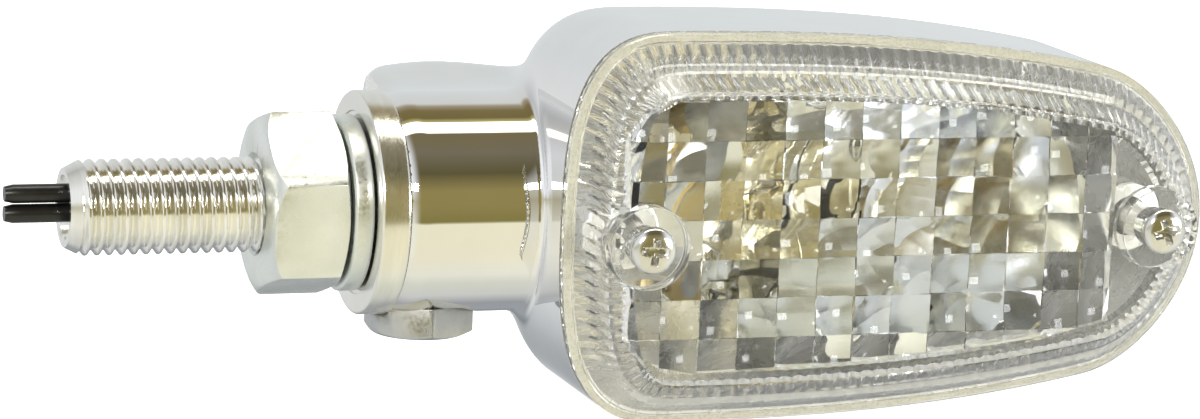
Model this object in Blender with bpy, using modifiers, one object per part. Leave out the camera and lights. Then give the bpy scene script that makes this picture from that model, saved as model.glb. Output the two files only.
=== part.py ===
"""Turn signal indicator: a chromed lamp on a hollow threaded stud.

Lengths are in metres. The shapes are laid out from the stud: its axis is the X axis, the collar's seat
face is at X = 0, the stud points to -X, the lamp is at +X and its lens faces -Y. The empty lamp_frame
then shifts everything, so that the centre of the whole object's box is the origin.
"""

from math import atan2, copysign, cos, pi, radians, sin

import bmesh
import bpy
from mathutils import Matrix, Vector

MM = 0.001
REST_GAP = 0.1 * MM
SIDE_GAP = 0.3 * MM
FRAME_SHIFT = Vector((-25.3, 6.1, 0.0)) * MM

# Threaded stud, collar and spigot
STUD_R = 4.85 * MM
STUD_BORE_R = 3.1 * MM
STUD_TIP_X = -29.9 * MM
STUD_TIP_R = 4.0 * MM
STUD_CHAMFER = 1.7 * MM
COLLAR_R = 11.45 * MM
COLLAR_LONG = 3.0 * MM
COLLAR_EDGE = 0.35 * MM
WASHER_RECESS_R = 9.35 * MM
WASHER_RECESS_DEEP = 0.2 * MM
SPIGOT_R = 7.5 * MM
SPIGOT_GROOVE_R = 6.2 * MM
SPIGOT_GROOVE_LONG = 7.0 * MM
SPIGOT_END_X = 14.0 * MM

# Nut and spring washer
NUT_ACROSS_FLATS = 17.0 * MM
NUT_LONG = 8.0 * MM
NUT_TURNED = radians(-20.7)
NUT_LEFT_FACE = 0.84
NUT_LEFT_CHAMFER = 2.3 * MM
NUT_RIGHT_FACE = 0.97
NUT_RIGHT_CHAMFER = 1.2 * MM
WASHER_R = 9.0 * MM
WASHER_THICK = 2.4 * MM
WASHER_SPLIT = 1.0 * MM

# Neck of the housing
NECK_START_X = COLLAR_LONG + REST_GAP
NECK_R = 11.45 * MM
NECK_REAR = 12.0 * MM
NECK_BULGE = 2.0 * MM
NECK_BULGE_X = 11.0 * MM
NECK_BULGE_HALF = 9.0 * MM
NECK_CROWN = 2.9 * MM
NECK_BULGE_CROWN = 0.7 * MM
NECK_REAR_POWER = 5.0
NECK_CORNER = 3.0 * MM
NECK_CORNER_SHARE = 0.22
NECK_WAIST_X = 19.0 * MM
NECK_END_SHARE = 0.25
NECK_END_X = 31.0 * MM
NECK_BORE_R = SPIGOT_R + SIDE_GAP
NECK_BORE_END_X = 22.0 * MM
NECK_SECTIONS = Vector((4.2, 6.1, 8.5, 11.0, 14.0, 17.0, 20.0, 25.0, 31.0)) * MM

# Lamp body: its outline is a pear shape, blunt at the neck and narrower at the far end
RIM_Y = -16.4 * MM
RIM_LEFT_X = 16.9 * MM
RIM_RIGHT_X = 86.5 * MM
RIM_HALF_HIGH = 19.85 * MM
LEFT_CORNER = 12.1 * MM
LEFT_POWER = 2.95
RIGHT_CORNER = 12.5 * MM
RIGHT_POWER = 2.05
CROWN_START_X = 28.0 * MM
CROWN_RUN = 58.0 * MM
CROWN_DROP = 6.4 * MM
CROWN_POWER = 2.5
BODY_BACK_Y = 13.0 * MM
BACK_SHARE = 0.3
SPINE_START_X = 31.0 * MM
SPINE_END_X = 70.0 * MM
WALL = 2.0 * MM

# Gasket and lens
GASKET_THICK = 0.3 * MM
GASKET_WIDE = 2.2 * MM
GASKET_INSET = 0.35 * MM
LENS_BACK_Y = RIM_Y - GASKET_THICK - 2 * REST_GAP
LENS_FLANGE = 1.1 * MM
LENS_LEDGE = 0.9 * MM
LENS_LEDGE_FALL = 0.3 * MM
LENS_STEP_Y = -21.2 * MM
LENS_FRONT_Y = -24.4 * MM
LENS_STEP_IN = 2.8 * MM
LENS_FRONT_IN = 5.3 * MM
LENS_WALL = 2.0 * MM
LENS_BOSS_R = 4.2 * MM
LENS_BOSS_PROUD = 0.15 * MM

# Lens screws and the posts that hold them: each screw's side, its X, its Z and its post's back
SCREWS = (("left", 23.7 * MM, -0.6 * MM, -9.8 * MM), ("right", 78.8 * MM, 0.2 * MM, 9.0 * MM))
SCREW_HEAD_R = 2.35 * MM
SCREW_HEAD_HIGH = 1.6 * MM
SCREW_SHANK_R = 1.7 * MM
SCREW_REACH_Y = -11.0 * MM
SCREW_SEAT_Y = LENS_FRONT_Y - LENS_BOSS_PROUD - REST_GAP
SCREW_HOLE_R = SCREW_SHANK_R + SIDE_GAP
SCREW_TURNED = radians(-6)
RECESS_SIZE = Vector((3.3, 0.75, 1.9)) * MM
POST_R = 3.5 * MM
POST_FRONT_Y = -15.9 * MM
WEB_HALF_HIGH = 1.5 * MM

# Clamp bolt under the neck
BOLT_X = 7.3 * MM
BOLT_ACROSS_FLATS = 10.0 * MM
BOLT_HEAD_HIGH = 2.05 * MM
BOLT_BEVEL = 0.7 * MM
BOLT_FACE = 0.94
BOLT_SHANK_R = 2.85 * MM
BOLT_SEAT_Z = -(COLLAR_R + REST_GAP)
BOLT_TIP_Z = -(SPIGOT_GROOVE_R + SIDE_GAP)
BOLT_POCKET_R = 6.1 * MM
BOLT_POCKET_LOW_Z = -16.0 * MM
BOLT_HOLE_LOW_Z = -12.0 * MM
BOLT_HOLE_HIGH_Z = -5.3 * MM

# Bulb and socket, on the stud's axis
SOCKET_START_X = 22.4 * MM
SOCKET_END_X = 33.9 * MM
SOCKET_R = 8.3 * MM
SOCKET_WALL = 0.5 * MM
BULB_BASE_R = 7.5 * MM
BULB_BASE_START_X = 28.7 * MM
BULB_BASE_END_X = 35.3 * MM
BULB_R = 8.6 * MM
BULB_HALF_LONG = 1.08 * BULB_R
BULB_CENTRE_X = 43.0 * MM
BULB_NECK_R = 6.6 * MM
BULB_WALL = 0.6 * MM
FILAMENT_HALF_LONG = 2.4 * MM
FILAMENT_COIL_R = 0.45 * MM
FILAMENT_WIRE_R = 0.16 * MM
PIN_X = 31.3 * MM
PIN_R = 0.8 * MM
PIN_OUT_R = 8.9 * MM
PRESS_TRAVEL = 1.2 * MM
TWIST_SWEEP = 4.4 * MM
INSULATOR_X = SOCKET_START_X + SOCKET_WALL
PLUNGER_END_X = 27.2 * MM
PLUNGER_HEAD = 0.8 * MM
INSULATOR_THICK = 0.8 * MM
SPRING_WIRE_R = 0.13 * MM
BRACKET_X = 21.3 * MM
BRACKET_THICK = 0.9 * MM
BRACKET_LOW_Y = -6.5 * MM
BRACKET_HIGH_Y = 3.4 * MM
BRACKET_PAST_SCREW = 1.8 * MM
BRACKET_WINDOW_R = 4.2 * MM
BRACKET_SCREW_Z = 10.6 * MM
BRACKET_SCREWS = (("upper", BRACKET_SCREW_Z), ("lower", -BRACKET_SCREW_Z))
BRACKET_SCREW_R = 1.2 * MM
BRACKET_SCREW_HEAD_R = 2.1 * MM
BRACKET_SCREW_TIP_X = 18.2 * MM
BRACKET_HOLE_END_X = 17.9 * MM

# Reflector bowl behind the bulb
BOWL_CENTRE_X = 53.4 * MM
BOWL_HALF_LONG = 20.2 * MM
BOWL_HALF_HIGH = 14.2 * MM
BOWL_FRONT_Y = -13.6 * MM
BOWL_BACK_Y = 9.4 * MM
BOWL_WALL = 0.8 * MM
BOWL_BACK_SHARE = 0.38
BOWL_SQUARENESS = 0.7
BOWL_OPENING_R = BULB_R + 0.9 * MM
BOWL_OPENING_X = (30.0 * MM, 47.0 * MM)

# Wires
WIRE_R = 0.95 * MM
WIRE_SIDE = 1.0 * MM
WIRE_LIFT = 0.5 * MM
WIRE_TIP_X = -35.85 * MM
WIRE_END_X = 15.4 * MM
SIGNAL_LEAD = ((17.0, 0.0, 1.1), (18.2, 0.2, 1.9), (19.4, 0.2, 2.5))
GROUND_LEAD = ((17.0, 0.0, -1.1), (18.4, 0.3, -3.6), (18.9, 0.4, -5.6))
GROMMET_HOLE_R = WIRE_R + 0.25 * MM
GROMMET_FLANGE_R = 4.4 * MM
GROMMET_DEEP = 5.0 * MM

ALONG_X = Matrix.Rotation(pi / 2, 4, "Y")
ALONG_MINUS_Y = Matrix.Rotation(pi / 2, 4, "X")

FINISHES = {
    "chrome": ((0.78, 0.78, 0.80), 0.06, 1.0),
    "zinc": ((0.66, 0.67, 0.64), 0.28, 1.0),
    "bright_steel": ((0.60, 0.60, 0.60), 0.18, 1.0),
    "brass": ((0.72, 0.55, 0.26), 0.25, 1.0),
    "clear_lens": ((0.86, 0.86, 0.82), 0.05, 0.0),
    "amber_glass": ((0.95, 0.42, 0.04), 0.05, 0.0),
    "black_rubber": ((0.02, 0.02, 0.02), 0.55, 0.0),
    "black_wire": ((0.03, 0.03, 0.03), 0.35, 0.0),
    "fibre_board": ((0.30, 0.16, 0.08), 0.60, 0.0),
    "tungsten": ((0.35, 0.34, 0.33), 0.35, 1.0),
    "solder": ((0.55, 0.55, 0.53), 0.30, 1.0),
}


def start_scene():
    """Empties the scene, then makes the collections and the empty that carries every piece."""
    for old in list(bpy.data.objects):
        bpy.data.objects.remove(old)
    collections = {}
    for name in ("turn_signal_indicator", "cutters"):
        collections[name] = bpy.data.collections.new(name)
        bpy.context.scene.collection.children.link(collections[name])
    collections["cutters"].hide_render = True
    carrier = bpy.data.objects.new("lamp_frame", None)
    carrier.location = FRAME_SHIFT
    collections["turn_signal_indicator"].objects.link(carrier)
    return collections["turn_signal_indicator"], collections["cutters"], carrier


PARTS, CUTTERS, CARRIER = start_scene()


def finish(name):
    """The Principled material for a named finish, made once."""
    found = bpy.data.materials.get(name)
    if found:
        return found
    colour, roughness, metallic = FINISHES[name]
    made = bpy.data.materials.new(name)
    made.use_nodes = True
    shader = made.node_tree.nodes["Principled BSDF"]
    shader.inputs["Base Color"].default_value = (*colour, 1.0)
    shader.inputs["Roughness"].default_value = roughness
    shader.inputs["Metallic"].default_value = metallic
    if name == "clear_lens":
        shader.inputs["Transmission Weight"].default_value = 0.9
    return made


def add(name, mesh, look=None, turn=None, at=(0.0, 0.0, 0.0)):
    """Puts a mesh in the scene, as a part when it has a look and as a cutter when it has none."""
    made = bpy.data.objects.new(name, mesh)
    made.matrix_basis = Matrix.Translation(at) @ (turn or Matrix.Identity(4))
    made.parent = CARRIER
    if look:
        PARTS.objects.link(made)
        mesh.materials.append(finish(look))
        mesh.shade_smooth()
        mesh.set_sharp_from_angle(angle=radians(35))
    else:
        CUTTERS.objects.link(made)
        made.hide_render = True
        made.display_type = "WIRE"
    return made


def mesh_from(work, name):
    bmesh.ops.recalc_face_normals(work, faces=work.faces)
    made = bpy.data.meshes.new(name)
    work.to_mesh(made)
    work.free()
    return made


def turned(name, profile, look=None, turn=None, at=(0.0, 0.0, 0.0), closed=False, steps=28):
    """A turned piece. The profile lists (radius, height) down the outer side, from the top end to the bottom
    one, and back up the bore when it is closed."""
    mesh = bpy.data.meshes.new(name)
    points = [(radius, 0.0, height) for radius, height in profile]
    edges = [(i, i + 1) for i in range(len(points) - 1)]
    if closed:
        edges.append((len(points) - 1, 0))
    mesh.from_pydata(points, edges, [])
    made = add(name, mesh, look, turn, at)
    screw = made.modifiers.new("turn", "SCREW")
    screw.steps = steps
    screw.render_steps = steps
    screw.use_merge_vertices = True
    screw.merge_threshold = 0.00001
    screw.use_smooth_shade = True
    return made


def rod(name, radius, low, high, look=None, turn=None, at=(0.0, 0.0, 0.0), steps=28):
    return turned(name, [(0, high), (radius, high), (radius, low), (0, low)], look, turn, at, steps=steps)


def tube(name, outer, inner, low, high, look=None, turn=None, at=(0.0, 0.0, 0.0), steps=28):
    profile = [(outer, high), (outer, low), (inner, low), (inner, high)]
    return turned(name, profile, look, turn, at, closed=True, steps=steps)


def box(name, low, high, look=None):
    work = bmesh.new()
    bmesh.ops.create_cube(work, size=1.0)
    size = Vector(high) - Vector(low)
    bmesh.ops.scale(work, vec=size, verts=work.verts)
    bmesh.ops.translate(work, vec=(Vector(low) + Vector(high)) / 2, verts=work.verts)
    return add(name, mesh_from(work, name), look)


def hexagon(name, across_flats, low, high, look, turn, at=(0.0, 0.0, 0.0), roll=0.0):
    """A hexagonal prism along local Z."""
    work = bmesh.new()
    corner = across_flats / 2 / cos(pi / 6)
    bmesh.ops.create_cone(work, cap_ends=True, segments=6, radius1=corner, radius2=corner, depth=high - low)
    bmesh.ops.rotate(work, matrix=Matrix.Rotation(roll, 3, "Z"), verts=work.verts)
    bmesh.ops.translate(work, vec=(0, 0, (low + high) / 2), verts=work.verts)
    return add(name, mesh_from(work, name), look, turn, at)


def loft(name, rings, look=None):
    """A closed body through rings of equal point count, capped at both ends."""
    work = bmesh.new()
    rows = [[work.verts.new(point) for point in ring] for ring in rings]
    count = len(rows[0])
    for one, other in zip(rows, rows[1:]):
        for i in range(count):
            j = (i + 1) % count
            work.faces.new((one[i], one[j], other[j], other[i]))
    work.faces.new(rows[0])
    work.faces.new(rows[-1])
    return add(name, mesh_from(work, name), look)


def combine(piece, other, operation):
    change = piece.modifiers.new(f"{operation.lower()} {other.name}", "BOOLEAN")
    change.operation = operation
    change.object = other
    change.solver = "EXACT"


def cut(piece, *cutters):
    for cutter in cutters:
        combine(piece, cutter, "DIFFERENCE")


def join(piece, *others):
    for other in others:
        combine(piece, other, "UNION")


def wire(name, points, radius, look, resolution=2):
    """A round wire with filled caps through the points."""
    curve = bpy.data.curves.new(name, "CURVE")
    curve.dimensions = "3D"
    curve.bevel_depth = radius
    curve.bevel_resolution = resolution
    curve.use_fill_caps = True
    spline = curve.splines.new("POLY")
    spline.points.add(len(points) - 1)
    for place, point in zip(spline.points, points):
        place.co = (*point, 1.0)
    curve.materials.append(finish(look))
    made = bpy.data.objects.new(name, curve)
    made.parent = CARRIER
    PARTS.objects.link(made)
    return made


def smooth_path(corners, count):
    """Points along a soft curve through the corners, by Catmull-Rom interpolation."""
    corners = [Vector(corner) for corner in corners]
    padded = [corners[0], *corners, corners[-1]]
    path = []
    for start in range(len(corners) - 1):
        a, b, c, d = padded[start : start + 4]
        for step in range(count):
            t = step / count
            bend = (2 * a - 5 * b + 4 * c - d) * t**2
            twist = (3 * b - a - 3 * c + d) * t**3
            path.append((2 * b + (c - a) * t + bend + twist) / 2)
    return [*path, corners[-1]]


def crown(x):
    """Half height of the lamp's outline at x, before its ends are rounded."""
    run = max(0.0, (x - CROWN_START_X) / CROWN_RUN)
    return RIM_HALF_HIGH - CROWN_DROP * run**CROWN_POWER


def rim_outline():
    """The lamp's outline as (x, z) points, once round from the left tip over the top."""
    corner_steps, top_steps = 7, 5
    upper = []
    left_x = RIM_LEFT_X + LEFT_CORNER
    right_x = RIM_RIGHT_X - RIGHT_CORNER
    for step in range(corner_steps):
        angle = pi / 2 * step / corner_steps
        x = left_x - LEFT_CORNER * cos(angle) ** (2 / LEFT_POWER)
        upper.append((x, crown(x) * sin(angle) ** (2 / LEFT_POWER)))
    for step in range(top_steps):
        x = left_x + (right_x - left_x) * step / top_steps
        upper.append((x, crown(x)))
    for step in range(corner_steps + 1):
        angle = pi / 2 * (1 - step / corner_steps)
        x = right_x + RIGHT_CORNER * max(0.0, cos(angle)) ** (2 / RIGHT_POWER)
        upper.append((x, crown(x) * sin(angle) ** (2 / RIGHT_POWER)))
    lower = [(x, -z) for x, z in reversed(upper[1:-1])]
    return upper + lower


def inset(outline, distance):
    """The outline moved inwards by a distance, along each point's own normal."""
    moved = []
    count = len(outline)
    for i, (x, z) in enumerate(outline):
        before, after = outline[i - 1], outline[(i + 1) % count]
        along = Vector((after[0] - before[0], after[1] - before[1])).normalized()
        moved.append((x + along.y * distance, z - along.x * distance))
    return moved


def towards_spine(outline, share):
    """The outline drawn in towards a line along its middle, to a share of its distance from that line."""
    drawn = []
    for x, z in outline:
        middle = min(max(x, SPINE_START_X), SPINE_END_X)
        drawn.append((middle + (x - middle) * share, z * share))
    return drawn


def ring_at(outline, y):
    return [Vector((x, y, z)) for x, z in outline]


def body_solid(name, outline, front_y, back_y, look=None):
    """The lamp body's form: straight sides, then a rounded back."""
    rings = [ring_at(outline, front_y)]
    back_steps = 6
    for step in range(back_steps + 1):
        angle = pi / 2 * step / back_steps
        share = 1 - (1 - BACK_SHARE) * (1 - cos(angle))
        rings.append(ring_at(towards_spine(outline, share), back_y * sin(angle)))
    return loft(name, rings, look)


def neck_section(x):
    """One section of the neck: half a circle in front, and a deeper, squarer half behind."""
    from_bulge = min(1.0, abs(x - NECK_BULGE_X) / NECK_BULGE_HALF)
    bulge = (1 - from_bulge**2) ** 2
    near_end = max(0.0, 1 - (x - NECK_START_X) / NECK_CORNER)
    rear = (NECK_REAR + NECK_BULGE * bulge) * (1 - NECK_CORNER_SHARE * near_end**2)
    crowned = NECK_CROWN + NECK_BULGE_CROWN * bulge
    into_body = max(0.0, (x - NECK_WAIST_X) / (NECK_END_X - NECK_WAIST_X))
    size = 1 - NECK_END_SHARE * into_body
    front_steps, rear_steps = 11, 13
    ring = []
    for step in range(front_steps):
        angle = pi * step / front_steps
        ring.append(Vector((x, -NECK_R * sin(angle) * size, -NECK_R * cos(angle) * size)))
    for step in range(rear_steps):
        angle = pi * step / rear_steps
        deep = sin(angle) ** (2 / NECK_REAR_POWER)
        up = copysign(abs(cos(angle)) ** (2 / NECK_REAR_POWER), cos(angle))
        high = NECK_R + crowned * deep**2
        ring.append(Vector((x, rear * deep * size, high * up * size)))
    return ring


def make_housing():
    outline = rim_outline()
    housing = body_solid("housing_shell", outline, RIM_Y, BODY_BACK_Y, "chrome")
    neck = loft("neck_form", [neck_section(x) for x in (NECK_START_X, *NECK_SECTIONS)])
    cavity = body_solid("cavity", inset(outline, WALL), RIM_Y - 2 * MM, BODY_BACK_Y - WALL)
    bore = rod("neck_bore", NECK_BORE_R, NECK_START_X - MM, NECK_BORE_END_X, turn=ALONG_X)
    join(housing, neck)
    cut(housing, cavity, bore)
    for side, x, z, back_y in SCREWS:
        post = f"{side}_post"
        join(housing, rod(post, POST_R, -back_y, -POST_FRONT_Y, turn=ALONG_MINUS_Y, at=(x, 0, z)))
    _, web_x, web_z, web_back = SCREWS[0]
    web_low = (RIM_LEFT_X + WALL / 2, POST_FRONT_Y + REST_GAP, web_z - WEB_HALF_HIGH)
    join(housing, box("left_web", web_low, (web_x, web_back - REST_GAP, web_z + WEB_HALF_HIGH)))
    for side, x, z, _ in SCREWS:
        pilot, deep, past = f"{side}_pilot", -SCREW_REACH_Y - 2 * SIDE_GAP, -POST_FRONT_Y + MM
        cut(housing, rod(pilot, SCREW_HOLE_R, deep, past, turn=ALONG_MINUS_Y, at=(x, 0, z), steps=24))
    hole_r = BRACKET_SCREW_R + SIDE_GAP
    for side, z in BRACKET_SCREWS:
        hole = f"bracket_hole_{side}"
        low, high = BRACKET_HOLE_END_X, BRACKET_X + MM
        cut(housing, rod(hole, hole_r, low, high, turn=ALONG_X, at=(0, 0, z), steps=20))
    bolt_at = (BOLT_X, 0, 0)
    cut(housing, rod("bolt_pocket", BOLT_POCKET_R, BOLT_POCKET_LOW_Z, BOLT_SEAT_Z + REST_GAP, at=bolt_at))
    cut(housing, rod("bolt_hole", BOLT_SHANK_R + SIDE_GAP, BOLT_HOLE_LOW_Z, BOLT_HOLE_HIGH_Z, at=bolt_at))


def make_gasket():
    outline = rim_outline()
    outer, inner = inset(outline, GASKET_INSET), inset(outline, GASKET_INSET + GASKET_WIDE)
    back, front = RIM_Y - REST_GAP, RIM_Y - REST_GAP - GASKET_THICK
    gasket = loft("lens_gasket", [ring_at(outer, back), ring_at(outer, front)], "black_rubber")
    cut(gasket, loft("gasket_window", [ring_at(inner, back + MM), ring_at(inner, front - MM)]))


def make_lens():
    """A domed cover: a flange, two sloping tiers and a flat front, with two bosses for the screws."""
    outline = rim_outline()
    outer = [
        ring_at(outline, LENS_BACK_Y),
        ring_at(outline, LENS_BACK_Y - LENS_FLANGE),
        ring_at(inset(outline, LENS_LEDGE), LENS_BACK_Y - LENS_FLANGE - LENS_LEDGE_FALL),
        ring_at(inset(outline, LENS_STEP_IN), LENS_STEP_Y),
        ring_at(inset(outline, LENS_FRONT_IN), LENS_FRONT_Y),
    ]
    lens = loft("lens", outer, "clear_lens")
    hollow = [
        ring_at(inset(outline, LENS_WALL + 0.6 * MM), LENS_BACK_Y + MM),
        ring_at(inset(outline, LENS_WALL + 0.8 * MM), LENS_BACK_Y - LENS_FLANGE),
        ring_at(inset(outline, LENS_STEP_IN + LENS_WALL), LENS_STEP_Y + 0.5 * MM),
        ring_at(inset(outline, LENS_FRONT_IN + 0.9 * LENS_WALL), LENS_FRONT_Y + LENS_WALL),
    ]
    cut(lens, loft("lens_hollow", hollow))
    for side, x, z, _ in SCREWS:
        front, back = -LENS_FRONT_Y + LENS_BOSS_PROUD, -LENS_BACK_Y
        join(lens, rod(f"lens_boss_{side}", LENS_BOSS_R, back, front, turn=ALONG_MINUS_Y, at=(x, 0, z)))
        low, high = back - MM, front + MM
        hole = f"lens_hole_{side}"
        cut(lens, rod(hole, SCREW_HOLE_R, low, high, turn=ALONG_MINUS_Y, at=(x, 0, z), steps=24))


def make_lens_screws():
    """Pan heads with a cross recess."""
    seat, top = -SCREW_SEAT_Y, -SCREW_SEAT_Y + SCREW_HEAD_HIGH
    profile = [(0, top), (SCREW_HEAD_R * 0.62, top - 0.12 * MM), (SCREW_HEAD_R * 0.9, top - 0.5 * MM)]
    profile += [(SCREW_HEAD_R, top - 0.95 * MM), (SCREW_HEAD_R, seat), (SCREW_SHANK_R, seat)]
    profile += [(SCREW_SHANK_R, -SCREW_REACH_Y + 1.2 * MM), (0, -SCREW_REACH_Y)]
    for side, x, z, _ in SCREWS:
        screw = turned(f"lens_screw_{side}", profile, "bright_steel", ALONG_MINUS_Y, (x, 0, z))
        for slot, turned_by in (("across", SCREW_TURNED), ("along", SCREW_TURNED + pi / 2)):
            work = bmesh.new()
            bmesh.ops.create_cube(work, size=1.0)
            bmesh.ops.scale(work, vec=RECESS_SIZE, verts=work.verts)
            bmesh.ops.rotate(work, matrix=Matrix.Rotation(turned_by, 3, "Z"), verts=work.verts)
            bmesh.ops.translate(work, vec=(0, 0, top), verts=work.verts)
            name = f"recess_{slot}_{side}"
            cut(screw, add(name, mesh_from(work, name), turn=ALONG_MINUS_Y, at=(x, 0, z)))


def make_stud():
    profile = [(STUD_R, SPIGOT_END_X), (STUD_R, STUD_TIP_X + STUD_CHAMFER), (STUD_TIP_R, STUD_TIP_X)]
    profile += [(STUD_BORE_R, STUD_TIP_X), (STUD_BORE_R, SPIGOT_END_X)]
    turned("threaded_stud", profile, "zinc", ALONG_X, closed=True)
    bore = STUD_R + SIDE_GAP
    groove = (BOLT_X - SPIGOT_GROOVE_LONG / 2, BOLT_X + SPIGOT_GROOVE_LONG / 2)
    profile = [(SPIGOT_R, SPIGOT_END_X), (SPIGOT_R, groove[1]), (SPIGOT_GROOVE_R, groove[1])]
    profile += [(SPIGOT_GROOVE_R, groove[0]), (SPIGOT_R, groove[0]), (SPIGOT_R, COLLAR_LONG)]
    profile += [(COLLAR_R - COLLAR_EDGE, COLLAR_LONG), (COLLAR_R, COLLAR_LONG - COLLAR_EDGE)]
    profile += [(COLLAR_R, COLLAR_EDGE), (COLLAR_R - COLLAR_EDGE, 0), (WASHER_RECESS_R, 0)]
    profile += [(WASHER_RECESS_R, WASHER_RECESS_DEEP), (bore, WASHER_RECESS_DEEP), (bore, SPIGOT_END_X)]
    turned("collar_spigot", profile, "chrome", ALONG_X, closed=True, steps=40)


def make_nut_and_washer():
    bore = STUD_R + SIDE_GAP
    right = WASHER_RECESS_DEEP - REST_GAP
    washer_left = right - WASHER_THICK
    washer = tube("lock_washer", WASHER_R, bore, washer_left, right, "zinc", ALONG_X)
    work = bmesh.new()
    bmesh.ops.create_cube(work, size=1.0)
    bmesh.ops.scale(work, vec=(WASHER_SPLIT, 6 * MM, 2.2 * WASHER_THICK), verts=work.verts)
    bmesh.ops.rotate(work, matrix=Matrix.Rotation(radians(20), 3, "Y"), verts=work.verts)
    bmesh.ops.translate(work, vec=(0, WASHER_R - 1.5 * MM, (washer_left + right) / 2), verts=work.verts)
    cut(washer, add("washer_split", mesh_from(work, "washer_split"), turn=ALONG_X))
    high = washer_left - REST_GAP
    low = high - NUT_LONG
    nut = hexagon("mounting_nut", NUT_ACROSS_FLATS, low, high, "zinc", ALONG_X, roll=NUT_TURNED)
    flat, corner = NUT_ACROSS_FLATS / 2, NUT_ACROSS_FLATS / 2 / cos(pi / 6)
    profile = [(0, high), (flat * NUT_RIGHT_FACE, high), (corner + MM, high - NUT_RIGHT_CHAMFER)]
    profile += [(corner + MM, low + NUT_LEFT_CHAMFER), (flat, low + NUT_LEFT_CHAMFER * 0.3)]
    profile += [(flat * NUT_LEFT_FACE, low), (0, low)]
    combine(nut, turned("nut_bevel", profile, turn=ALONG_X, steps=36), "INTERSECT")
    cut(nut, rod("nut_bore", bore, low - MM, high + MM, turn=ALONG_X))


def make_clamp_bolt():
    low, high = BOLT_SEAT_Z - BOLT_HEAD_HIGH, BOLT_SEAT_Z
    bolt = hexagon("clamp_bolt", BOLT_ACROSS_FLATS, low, high, "zinc", None, (BOLT_X, 0, 0))
    flat = BOLT_ACROSS_FLATS / 2
    past = flat + 1.5 * MM
    profile = [(0, high), (past, high), (past, low + BOLT_BEVEL), (flat * BOLT_FACE, low), (0, low)]
    combine(bolt, turned("bolt_bevel", profile, at=(BOLT_X, 0, 0), steps=30), "INTERSECT")
    join(bolt, rod("bolt_shank", BOLT_SHANK_R, high - 0.5 * MM, BOLT_TIP_Z, at=(BOLT_X, 0, 0), steps=28))


def make_socket():
    """The bayonet shell, the bracket that holds it in the housing, and the bracket's two screws."""
    inner = SOCKET_R - SOCKET_WALL
    profile = [(SOCKET_R, SOCKET_END_X), (SOCKET_R, SOCKET_START_X), (3.6 * MM, SOCKET_START_X)]
    profile += [(3.6 * MM, SOCKET_START_X + SOCKET_WALL), (inner, SOCKET_START_X + SOCKET_WALL)]
    profile += [(inner, SOCKET_END_X)]
    socket = turned("bulb_socket", profile, "bright_steel", ALONG_X, closed=True)
    clear = PIN_R + SIDE_GAP
    for side in (1, -1):
        label = "upper" if side > 0 else "lower"
        below, above = side * (inner - MM), side * (SOCKET_R + MM)
        far = side * TWIST_SWEEP
        low = (PIN_X - PRESS_TRAVEL - clear, -side * clear, below)
        cut(socket, box(f"turn_slot_{label}", low, (PIN_X + clear, far, above)))
        low = (PIN_X, far - side * 2 * clear, below)
        cut(socket, box(f"entry_slot_{label}", low, (SOCKET_END_X + MM, far, above)))
    back = BRACKET_X + BRACKET_THICK
    half_high = BRACKET_SCREW_Z + BRACKET_PAST_SCREW
    low, high = (BRACKET_X, BRACKET_LOW_Y, -half_high), (back, BRACKET_HIGH_Y, half_high)
    bracket = box("socket_bracket", low, high, "bright_steel")
    cut(bracket, rod("bracket_window", BRACKET_WINDOW_R, BRACKET_X - MM, back + MM, turn=ALONG_X))
    seat = back + REST_GAP
    top = seat + 1.1 * MM
    head_r = BRACKET_SCREW_HEAD_R
    profile = [(0, top), (head_r - 0.5 * MM, top - 0.1 * MM), (head_r, top - 0.6 * MM)]
    profile += [(head_r, seat), (BRACKET_SCREW_R, seat)]
    profile += [(BRACKET_SCREW_R, BRACKET_SCREW_TIP_X), (0, BRACKET_SCREW_TIP_X)]
    hole_r = BRACKET_SCREW_R + SIDE_GAP
    for side, z in BRACKET_SCREWS:
        hole = f"bracket_clear_{side}"
        cut(bracket, rod(hole, hole_r, BRACKET_X - MM, back + MM, turn=ALONG_X, at=(0, 0, z), steps=20))
        turned(f"bracket_screw_{side}", profile, "bright_steel", ALONG_X, (0, 0, z), steps=20)


def make_contacts():
    """The insulator disc, the sprung plunger through it and its spring."""
    face = INSULATOR_X + SIDE_GAP
    rest = face + INSULATOR_THICK
    tube("contact_insulator", 7.4 * MM, 1.3 * MM, face, rest, "fibre_board", ALONG_X)
    head = PLUNGER_END_X
    under = head - PLUNGER_HEAD
    profile = [(0, head), (1.6 * MM, head - 0.1 * MM), (2.2 * MM, head - 0.4 * MM), (2.2 * MM, under)]
    profile += [(0.9 * MM, under), (0.9 * MM, INSULATOR_X - 1.0 * MM), (0, INSULATOR_X - 1.0 * MM)]
    turned("contact_plunger", profile, "brass", ALONG_X, steps=24)
    turns, per_turn = 2, 12
    first, last = rest + SPRING_WIRE_R + REST_GAP, under - SPRING_WIRE_R - REST_GAP
    coil = []
    for i in range(turns * per_turn + 1):
        angle = 2 * pi * i / per_turn
        x = first + (last - first) * i / (turns * per_turn)
        coil.append((x, 1.65 * MM * cos(angle), 1.65 * MM * sin(angle)))
    wire("contact_spring", coil, SPRING_WIRE_R, "bright_steel", resolution=1)


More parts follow.
